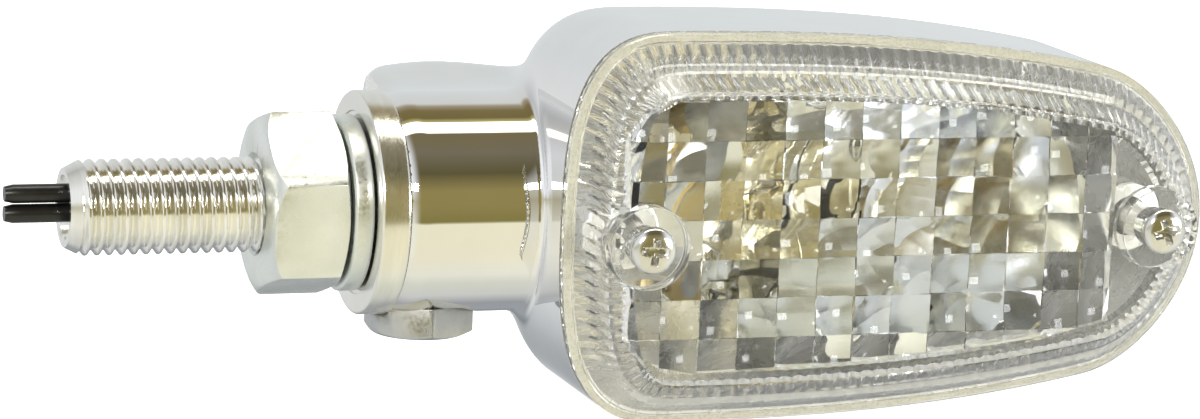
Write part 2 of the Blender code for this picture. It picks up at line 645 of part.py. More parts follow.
def make_bulb():
    """Base with two pins, glass, solder contact and filament."""
    low, high = BULB_BASE_START_X, BULB_BASE_END_X
    inner_r, floor = BULB_BASE_R - 0.7 * MM, low + 0.8 * MM
    profile = [(BULB_BASE_R, high), (BULB_BASE_R, low + 0.6 * MM), (BULB_BASE_R - 0.8 * MM, low)]
    profile += [(2.6 * MM, low), (2.6 * MM, floor), (inner_r, floor), (inner_r, high)]
    base = turned("bulb_base", profile, "brass", ALONG_X, closed=True)
    for side in (1, -1):
        label = "upper" if side > 0 else "lower"
        pin = rod(f"pin_{label}", PIN_R, BULB_BASE_R - 0.5 * MM, PIN_OUT_R, at=(PIN_X, 0, 0), steps=14)
        if side < 0:
            pin.matrix_basis = Matrix.Translation((PIN_X, 0, 0)) @ Matrix.Rotation(pi, 4, "X")
        join(base, pin)
    profile = [(0, low + 0.7 * MM), (2.2 * MM, low + 0.7 * MM), (2.2 * MM, low - 0.3 * MM)]
    profile += [(1.2 * MM, low - 1.0 * MM), (0, low - 1.2 * MM)]
    turned("bulb_contact", profile, "solder", ALONG_X, steps=24)
    glass_start = high + REST_GAP
    steps = 6
    neck_angle = atan2(BULB_NECK_R, BULB_CENTRE_X - glass_start - 2.0 * MM)
    outer, inner = [], []
    for step in range(steps + 1):
        angle = (pi - neck_angle) * step / steps
        for reach, side in ((0, outer), (BULB_WALL, inner)):
            x = BULB_CENTRE_X + (BULB_HALF_LONG - reach) * cos(angle)
            side.append(((BULB_R - reach) * sin(angle), x))
    outer[0] = (0, outer[0][1])
    inner[0] = (0, inner[0][1])
    profile = outer + [(BULB_NECK_R, glass_start), (BULB_NECK_R - BULB_WALL, glass_start)] + inner[::-1]
    turned("bulb_glass", profile, "amber_glass", ALONG_X, steps=24)
    leg = [(high - 5 * MM, 1.7 * MM), (BULB_CENTRE_X - 2 * MM, 1.9 * MM), (BULB_CENTRE_X, 2.8 * MM)]
    loop = [(x, 0, z) for x, z in leg]
    coil_turns, per_turn = 4, 6
    for i in range(coil_turns * per_turn + 1):
        angle = 2 * pi * i / per_turn
        z = FILAMENT_HALF_LONG * (1 - 2 * i / (coil_turns * per_turn))
        x = BULB_CENTRE_X + 0.8 * MM + FILAMENT_COIL_R * sin(angle)
        loop.append((x, FILAMENT_COIL_R * cos(angle), z))
    loop += [(x, 0, -z) for x, z in reversed(leg)]
    wire("bulb_filament", loop, FILAMENT_WIRE_R, "tungsten", resolution=1)


def make_reflector():
    """A bright bowl behind the bulb, with a side opening that the bulb passes through."""
    count, steps = 28, 5
    rings = []
    for back, spare in ((BOWL_BACK_Y, 0.0), (BOWL_BACK_Y - BOWL_WALL, BOWL_WALL)):
        rows = []
        for step in range(steps + 1):
            angle = pi / 2 * step / steps
            share = 1 - (1 - BOWL_BACK_SHARE) * (1 - cos(angle))
            y = BOWL_FRONT_Y + (back - BOWL_FRONT_Y) * sin(angle)
            ring = []
            for i in range(count):
                around = 2 * pi * i / count
                swing, lift = cos(around), sin(around)
                x = copysign(abs(swing) ** BOWL_SQUARENESS, swing) * (BOWL_HALF_LONG - spare) * share
                z = copysign(abs(lift) ** BOWL_SQUARENESS, lift) * (BOWL_HALF_HIGH - spare) * share
                ring.append(Vector((BOWL_CENTRE_X + x, y, z)))
            rows.append(ring)
        rings.append(rows)
    bowl = loft("reflector", rings[0][::-1] + rings[1], "chrome")
    cut(bowl, rod("bulb_opening", BOWL_OPENING_R, *BOWL_OPENING_X, turn=ALONG_X))


def make_wires():
    """Two wires through the stud, and the two leads that carry on from them to the socket."""
    for side, name in ((1, "signal"), (-1, "ground")):
        z = side * WIRE_SIDE
        run = [(WIRE_TIP_X, 0, z + WIRE_LIFT), (STUD_TIP_X, 0, z + WIRE_LIFT), (WIRE_END_X, 0, z)]
        wire(f"{name}_wire", run, WIRE_R, "black_wire", resolution=3)
    start = WIRE_END_X + SIDE_GAP
    for side, name, path in ((1, "signal", SIGNAL_LEAD), (-1, "ground", GROUND_LEAD)):
        run = smooth_path([(start, 0, side * WIRE_SIDE), *(Vector(point) * MM for point in path)], 3)
        wire(f"{name}_lead", run, WIRE_R, "black_wire", resolution=3)
    grommet_r = STUD_BORE_R - SIDE_GAP
    flange = SPIGOT_END_X + REST_GAP
    end, top = flange - GROMMET_DEEP, flange + MM
    profile = [(0, top), (GROMMET_FLANGE_R, top), (GROMMET_FLANGE_R, flange), (grommet_r, flange)]
    profile += [(grommet_r, end), (0, end)]
    grommet = turned("wire_grommet", profile, "black_rubber", ALONG_X)
    for side, label in ((1, "signal"), (-1, "ground")):
        name, place = f"grommet_hole_{label}", (0, 0, side * WIRE_SIDE)
        cut(grommet, rod(name, GROMMET_HOLE_R, end - MM, top + MM, turn=ALONG_X, at=place, steps=20))


def build():
    make_housing()
    make_gasket()
    make_lens()
    make_lens_screws()
    make_stud()
    make_nut_and_washer()
    make_clamp_bolt()
    make_socket()
    make_contacts()
    make_bulb()
    make_reflector()
    make_wires()


build()
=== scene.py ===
"""Looks of the turn signal indicator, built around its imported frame.

Lengths are in metres. The shapes are laid out from the stud: its axis is the X axis of a stud frame whose
X = 0 is the collar's seat face, with the stud towards -X, the lamp towards +X and the lens facing -Y. HUB is
the place of that frame's origin in the row frame, and every piece is placed there.
"""

import math

import bmesh
import bpy
import numpy as np
from mathutils import Matrix, Quaternion, Vector


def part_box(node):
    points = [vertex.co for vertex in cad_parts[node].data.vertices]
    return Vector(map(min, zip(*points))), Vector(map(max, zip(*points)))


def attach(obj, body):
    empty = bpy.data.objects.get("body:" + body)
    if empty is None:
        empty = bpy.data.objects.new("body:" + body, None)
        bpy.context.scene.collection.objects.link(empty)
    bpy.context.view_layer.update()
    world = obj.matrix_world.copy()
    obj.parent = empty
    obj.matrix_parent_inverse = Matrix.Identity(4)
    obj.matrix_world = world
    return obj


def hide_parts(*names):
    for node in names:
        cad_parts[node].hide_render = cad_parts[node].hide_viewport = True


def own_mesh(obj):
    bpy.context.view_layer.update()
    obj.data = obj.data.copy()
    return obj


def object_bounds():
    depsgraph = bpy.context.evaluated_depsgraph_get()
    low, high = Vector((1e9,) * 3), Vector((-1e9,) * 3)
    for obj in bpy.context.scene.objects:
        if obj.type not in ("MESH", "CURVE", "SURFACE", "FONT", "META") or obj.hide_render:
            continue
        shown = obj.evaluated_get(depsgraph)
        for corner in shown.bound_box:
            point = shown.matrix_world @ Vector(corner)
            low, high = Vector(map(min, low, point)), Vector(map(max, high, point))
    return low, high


MM = 0.001
TURN = 2 * math.pi

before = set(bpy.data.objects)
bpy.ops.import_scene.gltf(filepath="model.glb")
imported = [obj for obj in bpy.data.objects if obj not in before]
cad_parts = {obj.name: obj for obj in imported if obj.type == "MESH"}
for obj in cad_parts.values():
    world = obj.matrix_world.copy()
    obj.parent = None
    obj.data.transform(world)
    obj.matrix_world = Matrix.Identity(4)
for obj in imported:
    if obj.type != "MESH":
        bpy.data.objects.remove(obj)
CAD_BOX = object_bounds()


def hub():
    """The origin of the stud frame: the centre of the collar's seat face."""
    low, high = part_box("collar_spigot")
    return Vector((low.x, (low.y + high.y) / 2, (low.z + high.z) / 2))


HUB = hub()


def span(node):
    """Lowest and highest corner of a CAD node, in the stud frame."""
    low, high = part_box(node)
    return low - HUB, high - HUB


# Sizes read from the frame
STUD_LOW, STUD_HIGH = span("threaded_stud")
COLLAR_HIGH = span("collar_spigot")[1]
WASHER_LOW, WASHER_HIGH = span("lock_washer")
NUT_LOW, NUT_HIGH = span("mounting_nut")
BOLT_LOW, BOLT_HIGH = span("clamp_bolt")
HOUSING_LOW = span("housing_shell")[0]
LENS_LOW, LENS_HIGH = span("lens")
GASKET_LOW, GASKET_HIGH = span("lens_gasket")
SCREW_LOW, SCREW_HIGH = span("lens_screw_left")
SCREWS = {side: sum(span(f"lens_screw_{side}"), Vector()) / 2 for side in ("left", "right")}

# Stud and collar
THREAD_PITCH = 1.25 * MM
THREAD_DEEP = 0.55 * MM
STUD_R = STUD_HIGH.z
STUD_BORE_R = 3.1 * MM
STUD_TIP_R = 4.0 * MM
STUD_CHAMFER = 1.7 * MM
COLLAR_R = COLLAR_HIGH.z
COLLAR_LONG = 3.0 * MM
SPIGOT_R = 7.5 * MM
SPIGOT_GROOVE_R = 6.2 * MM
SPIGOT_GROOVE_HALF = 3.5 * MM

# Nut, washer and bolt
NUT_FLATS = 17.0 * MM
NUT_TURNED = math.radians(-20.7)
NUT_LEFT_CHAMFER = 2.3 * MM
NUT_RIGHT_CHAMFER = 1.2 * MM
WASHER_SPLIT_AT = math.radians(270)
BOLT_FLATS = 10.0 * MM
BOLT_SHANK_R = 2.85 * MM
BOLT_HEAD_TOP = -10.25 * MM
COLLAR_CLEAR = COLLAR_LONG + 0.15 * MM
BOLT_X = (BOLT_LOW.x + BOLT_HIGH.x) / 2

# Contact spring
SPRING_WIRE_R = 0.13 * MM

# Neck
NECK_START = COLLAR_LONG + 0.1 * MM
NECK_END = 31.0 * MM
NECK_REAR = 12.0 * MM
NECK_BULGE = 2.0 * MM
NECK_BULGE_X = 11.0 * MM
NECK_BULGE_HALF = 9.0 * MM
NECK_CROWN = 2.9 * MM
NECK_BULGE_CROWN = 0.7 * MM
NECK_WAIST_X = 19.0 * MM
NECK_BORE_R = 7.8 * MM
NECK_POWER = 5.0
NECK_END_SMALLER = 0.25
NECK_REAR_LESS = 0.22
NECK_DRAWN_IN = 3.0 * MM
NECK_EDGE = 2.2 * MM
NECK_EDGE_DROP = 0.4 * MM
FILLET_FRONT = 0.7 * MM
FILLET_BACK = 2.2 * MM
FILLET_FADE = 8 * MM

# Lamp body: a pear-shaped outline, straight sides, then a rounded back
RIM_Y = HOUSING_LOW.y
RIM_LEFT = LENS_LOW.x
RIM_RIGHT = LENS_HIGH.x
RIM_HALF_HIGH = LENS_HIGH.z
LEFT_CORNER = 12.1 * MM
LEFT_POWER = 2.95
RIGHT_CORNER = 12.5 * MM
RIGHT_POWER = 2.05
CROWN_START = 28.0 * MM
CROWN_RUN = 58.0 * MM
CROWN_DROP = 6.4 * MM
CROWN_POWER = 2.5
BODY_BACK = 13.0 * MM
BACK_SHARE = 0.3
SPINE_START = 31.0 * MM
SPINE_END = 70.0 * MM
WALL = 2.0 * MM
VOXEL = 0.42 * MM
ON_FORM = 0.08 * MM
INSIDE_DEPTH = 0.6 * MM
FACING_OUT = 0.8
BOLT_POCKET_R = 6.0 * MM
BORE_END = 23 * MM

# Lens
FLANGE_BACK = LENS_HIGH.y
FLANGE_FRONT = FLANGE_BACK - 1.1 * MM
STEP_Y = -21.2 * MM
FRONT_Y = -24.4 * MM
STEP_IN = 2.8 * MM
FRONT_IN = 5.3 * MM
LENS_WALL = 2.0 * MM
SIDE_WALL = 1.2 * MM
LIP = 1.5 * MM
BOSS_R = 4.2 * MM
SCREW_HOLE_R = 2.0 * MM
POST_R = 3.5 * MM
POST_BORE_R = 2.0 * MM
POST_BORE_DEEP = 4 * MM
POST_FRONT = 15.9 * MM
POST_BACKS = {"left": -9.8 * MM, "right": 8.6 * MM}

# Prisms on the back of the lens front
CELL_LONG = 4.105 * MM
CELL_HIGH = 3.976 * MM
CELL_FIRST_X = 29.33 * MM
CELL_DEEP = 0.52 * MM
CELL_TILT = 0.75 * MM


def outline(count):
    """The lamp's outline in the X-Z plane as count points, evenly spaced, from the left tip over the top."""
    steps = np.linspace(0, math.pi / 2, 400)
    left_x, right_x = RIM_LEFT + LEFT_CORNER, RIM_RIGHT - RIGHT_CORNER
    left = left_x - LEFT_CORNER * np.cos(steps) ** (2 / LEFT_POWER)
    left_share = np.sin(steps) ** (2 / LEFT_POWER)
    top = np.linspace(left_x, right_x, 400)[1:-1]
    right = right_x + RIGHT_CORNER * np.maximum(0, np.cos(steps[::-1])) ** (2 / RIGHT_POWER)
    right_share = np.sin(steps[::-1]) ** (2 / RIGHT_POWER)
    x = np.concatenate([left, top, right])
    share = np.concatenate([left_share, np.ones(len(top)), right_share])
    z = crown(x) * share
    x, z = np.concatenate([x, x[-2::-1]]), np.concatenate([z, -z[-2::-1]])
    run = np.concatenate([[0], np.cumsum(np.hypot(np.diff(x), np.diff(z)))])
    even = np.linspace(0, run[-1], count, endpoint=False)
    return np.stack([np.interp(even, run, x), np.interp(even, run, z)], 1)


def crown(x):
    """Half height of the outline at x, before its ends are rounded."""
    run = np.maximum(0, (x - CROWN_START) / CROWN_RUN)
    return RIM_HALF_HIGH - CROWN_DROP * run**CROWN_POWER


def inset(points, distance):
    """A closed outline moved inwards; distance is one number, or one number for each point."""
    along = np.roll(points, -1, 0) - np.roll(points, 1, 0)
    along /= np.linalg.norm(along, axis=1)[:, None]
    inwards = np.stack([along[:, 1], -along[:, 0]], 1)
    return points + inwards * np.reshape(distance, (-1, 1))


def ring(points, y):
    """An X-Z outline as 3-D points at y."""
    return np.stack([points[:, 0], np.broadcast_to(y, len(points)), points[:, 1]], 1)


def place(name, mesh, body, material, replaces=(), crease=30):
    """Puts a finished mesh at the hub as a piece that rides on a body."""
    piece = bpy.data.objects.new(name, mesh)
    bpy.context.scene.collection.objects.link(piece)
    piece.location = HUB
    mesh.materials.clear()
    mesh.materials.append(material)
    mesh.shade_smooth()
    if crease:
        mesh.set_sharp_from_angle(angle=math.radians(crease))
    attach(piece, body)
    for node in replaces:
        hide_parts(node)
    return piece


def sheet(rows, around=False, along=False, caps=False):
    """A mesh through rows of points; around joins each row's ends, along joins the last row to the first."""
    rows = np.asarray(rows, float)
    count, wide, _ = rows.shape
    index = np.arange(count * wide).reshape(count, wide)
    faces = [index[0, ::-1].tolist(), index[-1].tolist()] if caps else []
    if around:
        index = np.concatenate([index, index[:, :1]], 1)
    if along:
        index = np.concatenate([index, index[:1]], 0)
    quads = np.stack([index[:-1, :-1], index[:-1, 1:], index[1:, 1:], index[1:, :-1]], -1)
    mesh = bpy.data.meshes.new("sheet")
    mesh.from_pydata(rows.reshape(-1, 3).tolist(), [], quads.reshape(-1, 4).tolist() + faces)
    work = bmesh.new()
    work.from_mesh(mesh)
    bmesh.ops.remove_doubles(work, verts=work.verts, dist=1e-8)
    bmesh.ops.recalc_face_normals(work, faces=work.faces)
    work.to_mesh(mesh)
    work.free()
    return mesh


def soften(profile, radius, steps=5, closed=False):
    """A profile with each inner corner rounded by a short curve that starts radius before it."""
    points = [Vector(point) for point in profile]
    count = len(points)
    smooth = []
    for i, corner in enumerate(points):
        if not closed and i in (0, count - 1):
            smooth.append(tuple(corner))
            continue
        before, after = points[i - 1], points[(i + 1) % count]
        reach = min(radius, 0.45 * (before - corner).length, 0.45 * (after - corner).length)
        start = corner + (before - corner).normalized() * reach
        end = corner + (after - corner).normalized() * reach
        for step in range(steps + 1):
            t = step / steps
            smooth.append(tuple(start * (1 - t) ** 2 + corner * 2 * t * (1 - t) + end * t**2))
    return smooth


def turned(profile, steps=128, closed=False):
    """A turned mesh about the X axis through (x, radius) points."""
    profile = np.array(profile)
    angles = np.linspace(0, TURN, steps, endpoint=False)
    rows = []
    for x, radius in profile:
        rows.append(np.stack([np.full(steps, x), radius * np.cos(angles), radius * np.sin(angles)], 1))
    return sheet(rows, around=True, along=closed)


def rod_x(radius, low, high):
    return turned([(low, 0), (low, radius), (high, radius), (high, 0)], 64)


def point_minus_y(mesh, x=0.0, z=0.0):
    """Turns a mesh made along +X so that it runs along -Y, then moves it."""
    mesh.transform(Matrix.Translation((x, 0, z)) @ Matrix.Rotation(-math.pi / 2, 4, "Z"))
    return mesh


def point_z(mesh, x=0.0):
    """Turns a mesh made along +X so that it runs along +Z, then moves it."""
    mesh.transform(Matrix.Translation((x, 0, 0)) @ Matrix.Rotation(-math.pi / 2, 4, "Y"))
    return mesh


def applied(mesh, *changes):
    """The mesh after modifiers, each given as (type, settings)."""
    holder = bpy.data.objects.new("holder", mesh)
    bpy.context.scene.collection.objects.link(holder)
    others = []
    for kind, settings in changes:
        change = holder.modifiers.new(kind, kind)
        for key, value in settings.items():
            if isinstance(value, bpy.types.Mesh):
                value = bpy.data.objects.new("other", value)
                bpy.context.scene.collection.objects.link(value)
                others.append(value)
            setattr(change, key, value)
    evaluated = holder.evaluated_get(bpy.context.evaluated_depsgraph_get())
    made = bpy.data.meshes.new_from_object(evaluated)
    for used in [holder, *others]:
        bpy.data.objects.remove(used)
    return made


def carve(mesh, *steps):
    """The mesh after boolean steps, each given as (operation, other mesh)."""
    changes = []
    for operation, other in steps:
        changes.append(("BOOLEAN", {"operation": operation, "object": other, "solver": "MANIFOLD"}))
    return applied(mesh, *changes)


def block(low, high):
    work = bmesh.new()
    bmesh.ops.create_cube(work, size=1.0)
    bmesh.ops.scale(work, vec=Vector(high) - Vector(low), verts=work.verts)
    bmesh.ops.translate(work, vec=(Vector(low) + Vector(high)) / 2, verts=work.verts)
    mesh = bpy.data.meshes.new("block")
    work.to_mesh(mesh)
    work.free()
    return mesh


# Materials


def graph(name):
    """A new material, and a function that adds a node with its settings and inputs."""
    material = bpy.data.materials.new(name)
    material.use_nodes = True
    tree = material.node_tree
    tree.nodes.clear()
    return material, node_maker(tree)


def node_maker(tree):
    def node(kind, inputs=None, **settings):
        made = tree.nodes.new(kind)
        for key, value in settings.items():
            setattr(made, key, value)
        for key, value in (inputs or {}).items():
            if isinstance(value, bpy.types.NodeSocket):
                tree.links.new(value, made.inputs[key])
            else:
                made.inputs[key].default_value = value
        return made

    return node


def ramp(node, factor, stops):
    made = node("ShaderNodeValToRGB", {"Fac": factor})
    elements = made.color_ramp.elements
    while len(elements) > 1:
        elements.remove(elements[-1])
    elements[0].position = stops[0][0]
    elements[0].color = (*stops[0][1], 1)
    for position, colour in stops[1:]:
        elements.new(position).color = (*colour, 1)
    return made.outputs["Color"]


def metal(name, colour, worn, rough, bump, grain, stretch=(1, 1, 1), metallic=1.0):
    """A metal whose colour drifts to a worn tone, with uneven roughness and a fine surface grain."""
    material, node = graph(name)
    where = node("ShaderNodeTexCoord").outputs["Object"]
    spread = node("ShaderNodeMapping", {"Vector": where, "Scale": stretch}).outputs["Vector"]
    cloud = node("ShaderNodeTexNoise", {"Vector": spread, "Scale": 140.0, "Detail": 5.0}).outputs["Fac"]
    fine = node("ShaderNodeTexNoise", {"Vector": spread, "Scale": grain, "Detail": 3.0}).outputs["Fac"]
    tone = ramp(node, cloud, [(0.38, worn), (0.62, colour)])
    uneven = node(
        "ShaderNodeMapRange",
        {"Value": fine, "From Min": 0.3, "From Max": 0.7, "To Min": rough * 0.75, "To Max": rough * 1.3},
    )
    raised = node("ShaderNodeBump", {"Height": fine, "Strength": bump, "Distance": 0.00004})
    shader = node(
        "ShaderNodeBsdfPrincipled",
        {
            "Base Color": tone,
            "Metallic": metallic,
            "Roughness": uneven.outputs[0],
            "Normal": raised.outputs["Normal"],
        },
    )
    node("ShaderNodeOutputMaterial", {"Surface": shader.outputs["BSDF"]})
    return material


def clear(name, colour, rough=0.0, ior=1.49, haze=0.0):
    """Clear plastic or glass that lets light through to what is behind it, with faint moulding waves."""
    material, node = graph(name)
    where = node("ShaderNodeTexCoord").outputs["Object"]
    waves = node("ShaderNodeTexNoise", {"Vector": where, "Scale": 260.0, "Detail": 2.0}).outputs["Fac"]
    raised = node("ShaderNodeBump", {"Height": waves, "Strength": 0.15, "Distance": 0.00005})
    shader = node(
        "ShaderNodeBsdfPrincipled",
        {
            "Base Color": (*colour, 1),
            "Roughness": rough,
            "IOR": ior,
            "Transmission Weight": 1.0 - haze,
            "Normal": raised.outputs["Normal"],
        },
    )
    through = node("ShaderNodeBsdfTransparent", {"Color": (*colour, 1)})
    path = node("ShaderNodeLightPath")
    mixed = node(
        "ShaderNodeMixShader",
        {0: path.outputs["Is Shadow Ray"], 1: shader.outputs["BSDF"], 2: through.outputs["BSDF"]},
    )
    node("ShaderNodeOutputMaterial", {"Surface": mixed.outputs["Shader"]})
    return material


def moulded(name, colour, lighter, rough, grain):
    """Rubber, board or plastic with a mottled tone and a fine grain."""
    material, node = graph(name)
    where = node("ShaderNodeTexCoord").outputs["Object"]
    cloud = node("ShaderNodeTexNoise", {"Vector": where, "Scale": grain, "Detail": 4.0}).outputs["Fac"]
    tone = ramp(node, cloud, [(0.35, colour), (0.7, lighter)])
    raised = node("ShaderNodeBump", {"Height": cloud, "Strength": 0.25, "Distance": 0.00005})
    shader = node(
        "ShaderNodeBsdfPrincipled",
        {"Base Color": tone, "Roughness": rough, "Normal": raised.outputs["Normal"]},
    )
    node("ShaderNodeOutputMaterial", {"Surface": shader.outputs["BSDF"]})
    return material


def gasket_foam_painted_seam_shade():
    """A pale gasket pad whose side faces, its edges in the seam gap, are painted near black as shade in that
    gap.
    """
    material, node = graph("gasket_foam_painted_seam_shade")
    where = node("ShaderNodeTexCoord").outputs["Object"]
    cells = node("ShaderNodeTexVoronoi", {"Vector": where, "Scale": 3500.0}).outputs["Distance"]
    pad = ramp(node, cells, [(0.1, (0.30, 0.29, 0.22)), (0.6, (0.44, 0.42, 0.34))])
    facing = node("ShaderNodeSeparateXYZ", {"Vector": node("ShaderNodeNewGeometry").outputs["True Normal"]})
    flat = node("ShaderNodeMath", {0: facing.outputs["Y"]}, operation="ABSOLUTE").outputs[0]
    # painted shade: faces not turned to the front or back, the gasket's edges in the seam gap, get near black
    tone = node("ShaderNodeMix", {0: flat, 6: (0.015, 0.015, 0.015, 1), 7: pad}, data_type="RGBA").outputs[2]
    shader = node("ShaderNodeBsdfPrincipled", {"Base Color": tone, "Roughness": 0.6})
    node("ShaderNodeOutputMaterial", {"Surface": shader.outputs["BSDF"]})
    return material


def make_materials():
    return {
        "chrome": metal("chrome", (0.89, 0.89, 0.89), (0.86, 0.86, 0.86), 0.016, 0.015, 900),
        "chrome_inside": metal(
            "chrome_inside", (0.95, 0.95, 0.94), (0.90, 0.90, 0.88), 0.26, 0.25, 700, metallic=0.7
        ),
        "collar": metal("collar", (0.90, 0.89, 0.84), (0.84, 0.83, 0.78), 0.20, 0.03, 1500, (8, 1, 1)),
        "zinc": metal("zinc", (0.88, 0.90, 0.88), (0.78, 0.81, 0.78), 0.36, 0.3, 2600),
        "zinc_dull": metal("zinc_dull", (0.60, 0.61, 0.61), (0.45, 0.46, 0.46), 0.42, 0.3, 2600),
        "zinc_turned": metal(
            "zinc_turned", (0.95, 0.94, 0.90), (0.82, 0.81, 0.77), 0.15, 0.12, 1600, (6, 1, 1)
        ),
        "bright": metal("bright", (0.82, 0.82, 0.80), (0.62, 0.62, 0.60), 0.14, 0.15, 2200),
        "reflector": metal("reflector", (0.93, 0.95, 0.98), (0.88, 0.90, 0.93), 0.16, 0.25, 500),
        "brass": metal("brass", (0.83, 0.66, 0.33), (0.62, 0.46, 0.20), 0.22, 0.2, 1800),
        "tungsten": metal("tungsten", (0.40, 0.39, 0.37), (0.25, 0.24, 0.23), 0.35, 0.2, 3000),
        "solder": metal("solder", (0.66, 0.66, 0.64), (0.48, 0.48, 0.46), 0.32, 0.4, 1500),
        "lens": clear("lens", (0.985, 0.99, 0.99), rough=0.025),
        "lens_ribs": clear("lens_ribs", (0.97, 0.97, 0.95), rough=0.03, haze=0.12),
        "amber": clear("amber", (1.0, 0.96, 0.82), rough=0.0, ior=1.50),
        "gasket": gasket_foam_painted_seam_shade(),
        "rubber": moulded("rubber", (0.012, 0.012, 0.012), (0.03, 0.03, 0.03), 0.55, 1200),
        "wire": moulded("wire", (0.006, 0.006, 0.006), (0.014, 0.014, 0.014), 0.30, 700),
        "board": moulded("board", (0.20, 0.10, 0.05), (0.34, 0.19, 0.10), 0.6, 1500),
    }


# Housing


def gauge(x, z):
    """1 on the outline, 0 on the spine, and in between the share of the way out from the spine."""
    z = np.abs(z)
    edge = outline(1600)
    edge = edge[edge[:, 1] >= 0]
    shares = z / crown(x)
    for side, centre in ((-1, SPINE_START), (1, SPINE_END)):
        end = edge[(edge[:, 0] - centre) * side >= -MM]
        angles = np.arctan2(end[:, 1], (end[:, 0] - centre) * side)
        reach = np.hypot(end[:, 0] - centre, end[:, 1])
        order = np.argsort(angles)
        here = (x - centre) * side > 0
        angle = np.arctan2(z, (x - centre) * side)
        far = np.hypot(x - centre, z) / np.interp(angle, angles[order], reach[order])
        shares = np.where(here, far, shares)
    return shares


def body_field(p):
    out = np.maximum(0, (gauge(p[:, 0], p[:, 2]) - BACK_SHARE) / (1 - BACK_SHARE))
    return np.hypot(np.maximum(0, p[:, 1]) / BODY_BACK, out) - 1


def neck_sizes(x):
    """The neck at each x: how far it reaches back, how much higher its back is, and its scale."""
    from_bulge = np.minimum(1, np.abs(x - NECK_BULGE_X) / NECK_BULGE_HALF)
    bulge = (1 - from_bulge**2) ** 2
    near_start = np.maximum(0, 1 - (x - NECK_START) / NECK_DRAWN_IN)
    rear = (NECK_REAR + NECK_BULGE * bulge) * (1 - NECK_REAR_LESS * near_start**2)
    size = 1 - NECK_END_SMALLER * np.maximum(0, (x - NECK_WAIST_X) / (NECK_END - NECK_WAIST_X)) ** 2
    near_edge = np.maximum(0, 1 - (x - NECK_START) / NECK_EDGE)
    return rear, NECK_CROWN + NECK_BULGE_CROWN * bulge, size - near_edge**2 * NECK_EDGE_DROP / COLLAR_R


def neck_field(p):
    """Half a circle in front and a deeper, squarer half behind, drawn in where it enters the lamp."""
    rear, crowned, size = neck_sizes(np.clip(p[:, 0], NECK_START, NECK_END))
    y, z = p[:, 1] / size, p[:, 2] / size
    front = np.hypot(y, z) / COLLAR_R - 1
    deep = np.clip(y / rear, 0, 1)
    high = COLLAR_R + crowned * deep**2
    back = (deep**NECK_POWER + np.abs(z / high) ** NECK_POWER) ** (1 / NECK_POWER)
    back = np.where(y > rear, np.maximum(back, y / rear), back) - 1
    return np.maximum(np.where(y < 0, front, back), (p[:, 0] - NECK_END) / COLLAR_R)


def gradient(field, p, step=0.01 * MM):
    moved = []
    for axis in range(3):
        offset = np.zeros(3)
        offset[axis] = step
        moved.append((field(p + offset) - field(p - offset)) / (2 * step))
    return np.stack(moved, 1)


def distance(field, p):
    """Distance to a field's surface, to first order."""
    slope = np.linalg.norm(gradient(field, p), axis=1)
    return field(p) / np.maximum(slope, 1e-6)


def form_field(p):
    """The lamp body and the neck with a soft fillet between them."""
    one, other = distance(body_field, p), distance(neck_field, p)
    behind = np.clip(p[:, 1] / FILLET_FADE + 1, 0, 1)
    fillet = FILLET_FRONT + (FILLET_BACK - FILLET_FRONT) * behind**2 * (3 - 2 * behind)
    near = np.maximum(fillet - np.abs(one - other), 0) / fillet
    return np.minimum(one, other) - near**2 * fillet / 4


def form_normals(p):
    slope = gradient(form_field, p, 0.03 * MM)
    return slope / np.maximum(np.linalg.norm(slope, axis=1)[:, None], 1e-9)


def towards_spine(points, share):
    middle = np.clip(points[:, 0], SPINE_START, SPINE_END)
    return np.stack([middle + (points[:, 0] - middle) * share, points[:, 1] * share], 1)


def body_solid(points, front_y, back_y):
    """Straight sides from front_y to 0, then a rounded back."""
    steps = 14
    rows = [ring(points, front_y), ring(points, front_y / 2)]
    for step in range(steps + 1):
        angle = math.pi / 2 * step / steps
        share = 1 - (1 - BACK_SHARE) * (1 - math.cos(angle))
        rows.append(ring(towards_spine(points, share), back_y * math.sin(angle)))
    return sheet(rows, around=True, caps=True)


def neck_solid():
    """The neck as rings of points, with its rear half squared off as in neck_field."""
    around = 96
    angles = np.linspace(0, TURN, around, endpoint=False)
    across, up = np.sin(angles), np.cos(angles)
    deep = np.maximum(0, across) ** (2 / NECK_POWER)
    squarer = np.sign(up) * np.abs(up) ** (2 / NECK_POWER)
    rows = []
    for x in np.linspace(NECK_START - 2.5 * MM, NECK_END, 57):
        rear, crowned, size = neck_sizes(max(x, NECK_START))
        y = np.where(across > 0, rear * deep, COLLAR_R * across)
        z = np.where(across > 0, (COLLAR_R + crowned * deep**2) * squarer, COLLAR_R * up)
        rows.append(np.stack([np.full(around, x), y * size, z * size], 1))
    return sheet(rows, around=True, caps=True)


def points_of(mesh):
    flat = np.zeros(len(mesh.vertices) * 3)
    mesh.vertices.foreach_get("co", flat)
    return flat.reshape(-1, 3)


def set_points(mesh, points):
    mesh.vertices.foreach_set("co", points.ravel())
    mesh.update()


def drawn_onto_form(mesh):
    """Evens out the mesh and draws its points onto the form."""
    for _ in range(3):
        mesh = applied(mesh, ("SMOOTH", {"factor": 0.5, "iterations": 2}))
        points = points_of(mesh)
        for _ in range(4):
            off = np.clip(form_field(points), -MM, MM)
            points = points - form_normals(points) * off[:, None]
        set_points(mesh, points)
    return mesh


def follow_form(mesh):
    """Takes the shading of the outer faces from the form itself, so that reflections run clean."""
    points = points_of(mesh)
    on_form = np.abs(form_field(points)) < ON_FORM
    normals = form_normals(points)
    corners = np.zeros((len(mesh.loops), 3))
    deep_in = form_field(np.array([face.center for face in mesh.polygons])) < -INSIDE_DEPTH
    for face in mesh.polygons:
        ids = list(face.vertices)
        face.material_index = int(deep_in[face.index])
        if on_form[ids].all() and normals[ids].mean(0) @ np.array(face.normal) > FACING_OUT:
            corners[face.loop_start : face.loop_start + face.loop_total] = normals[ids]
    mesh.normals_split_custom_set(corners.tolist())


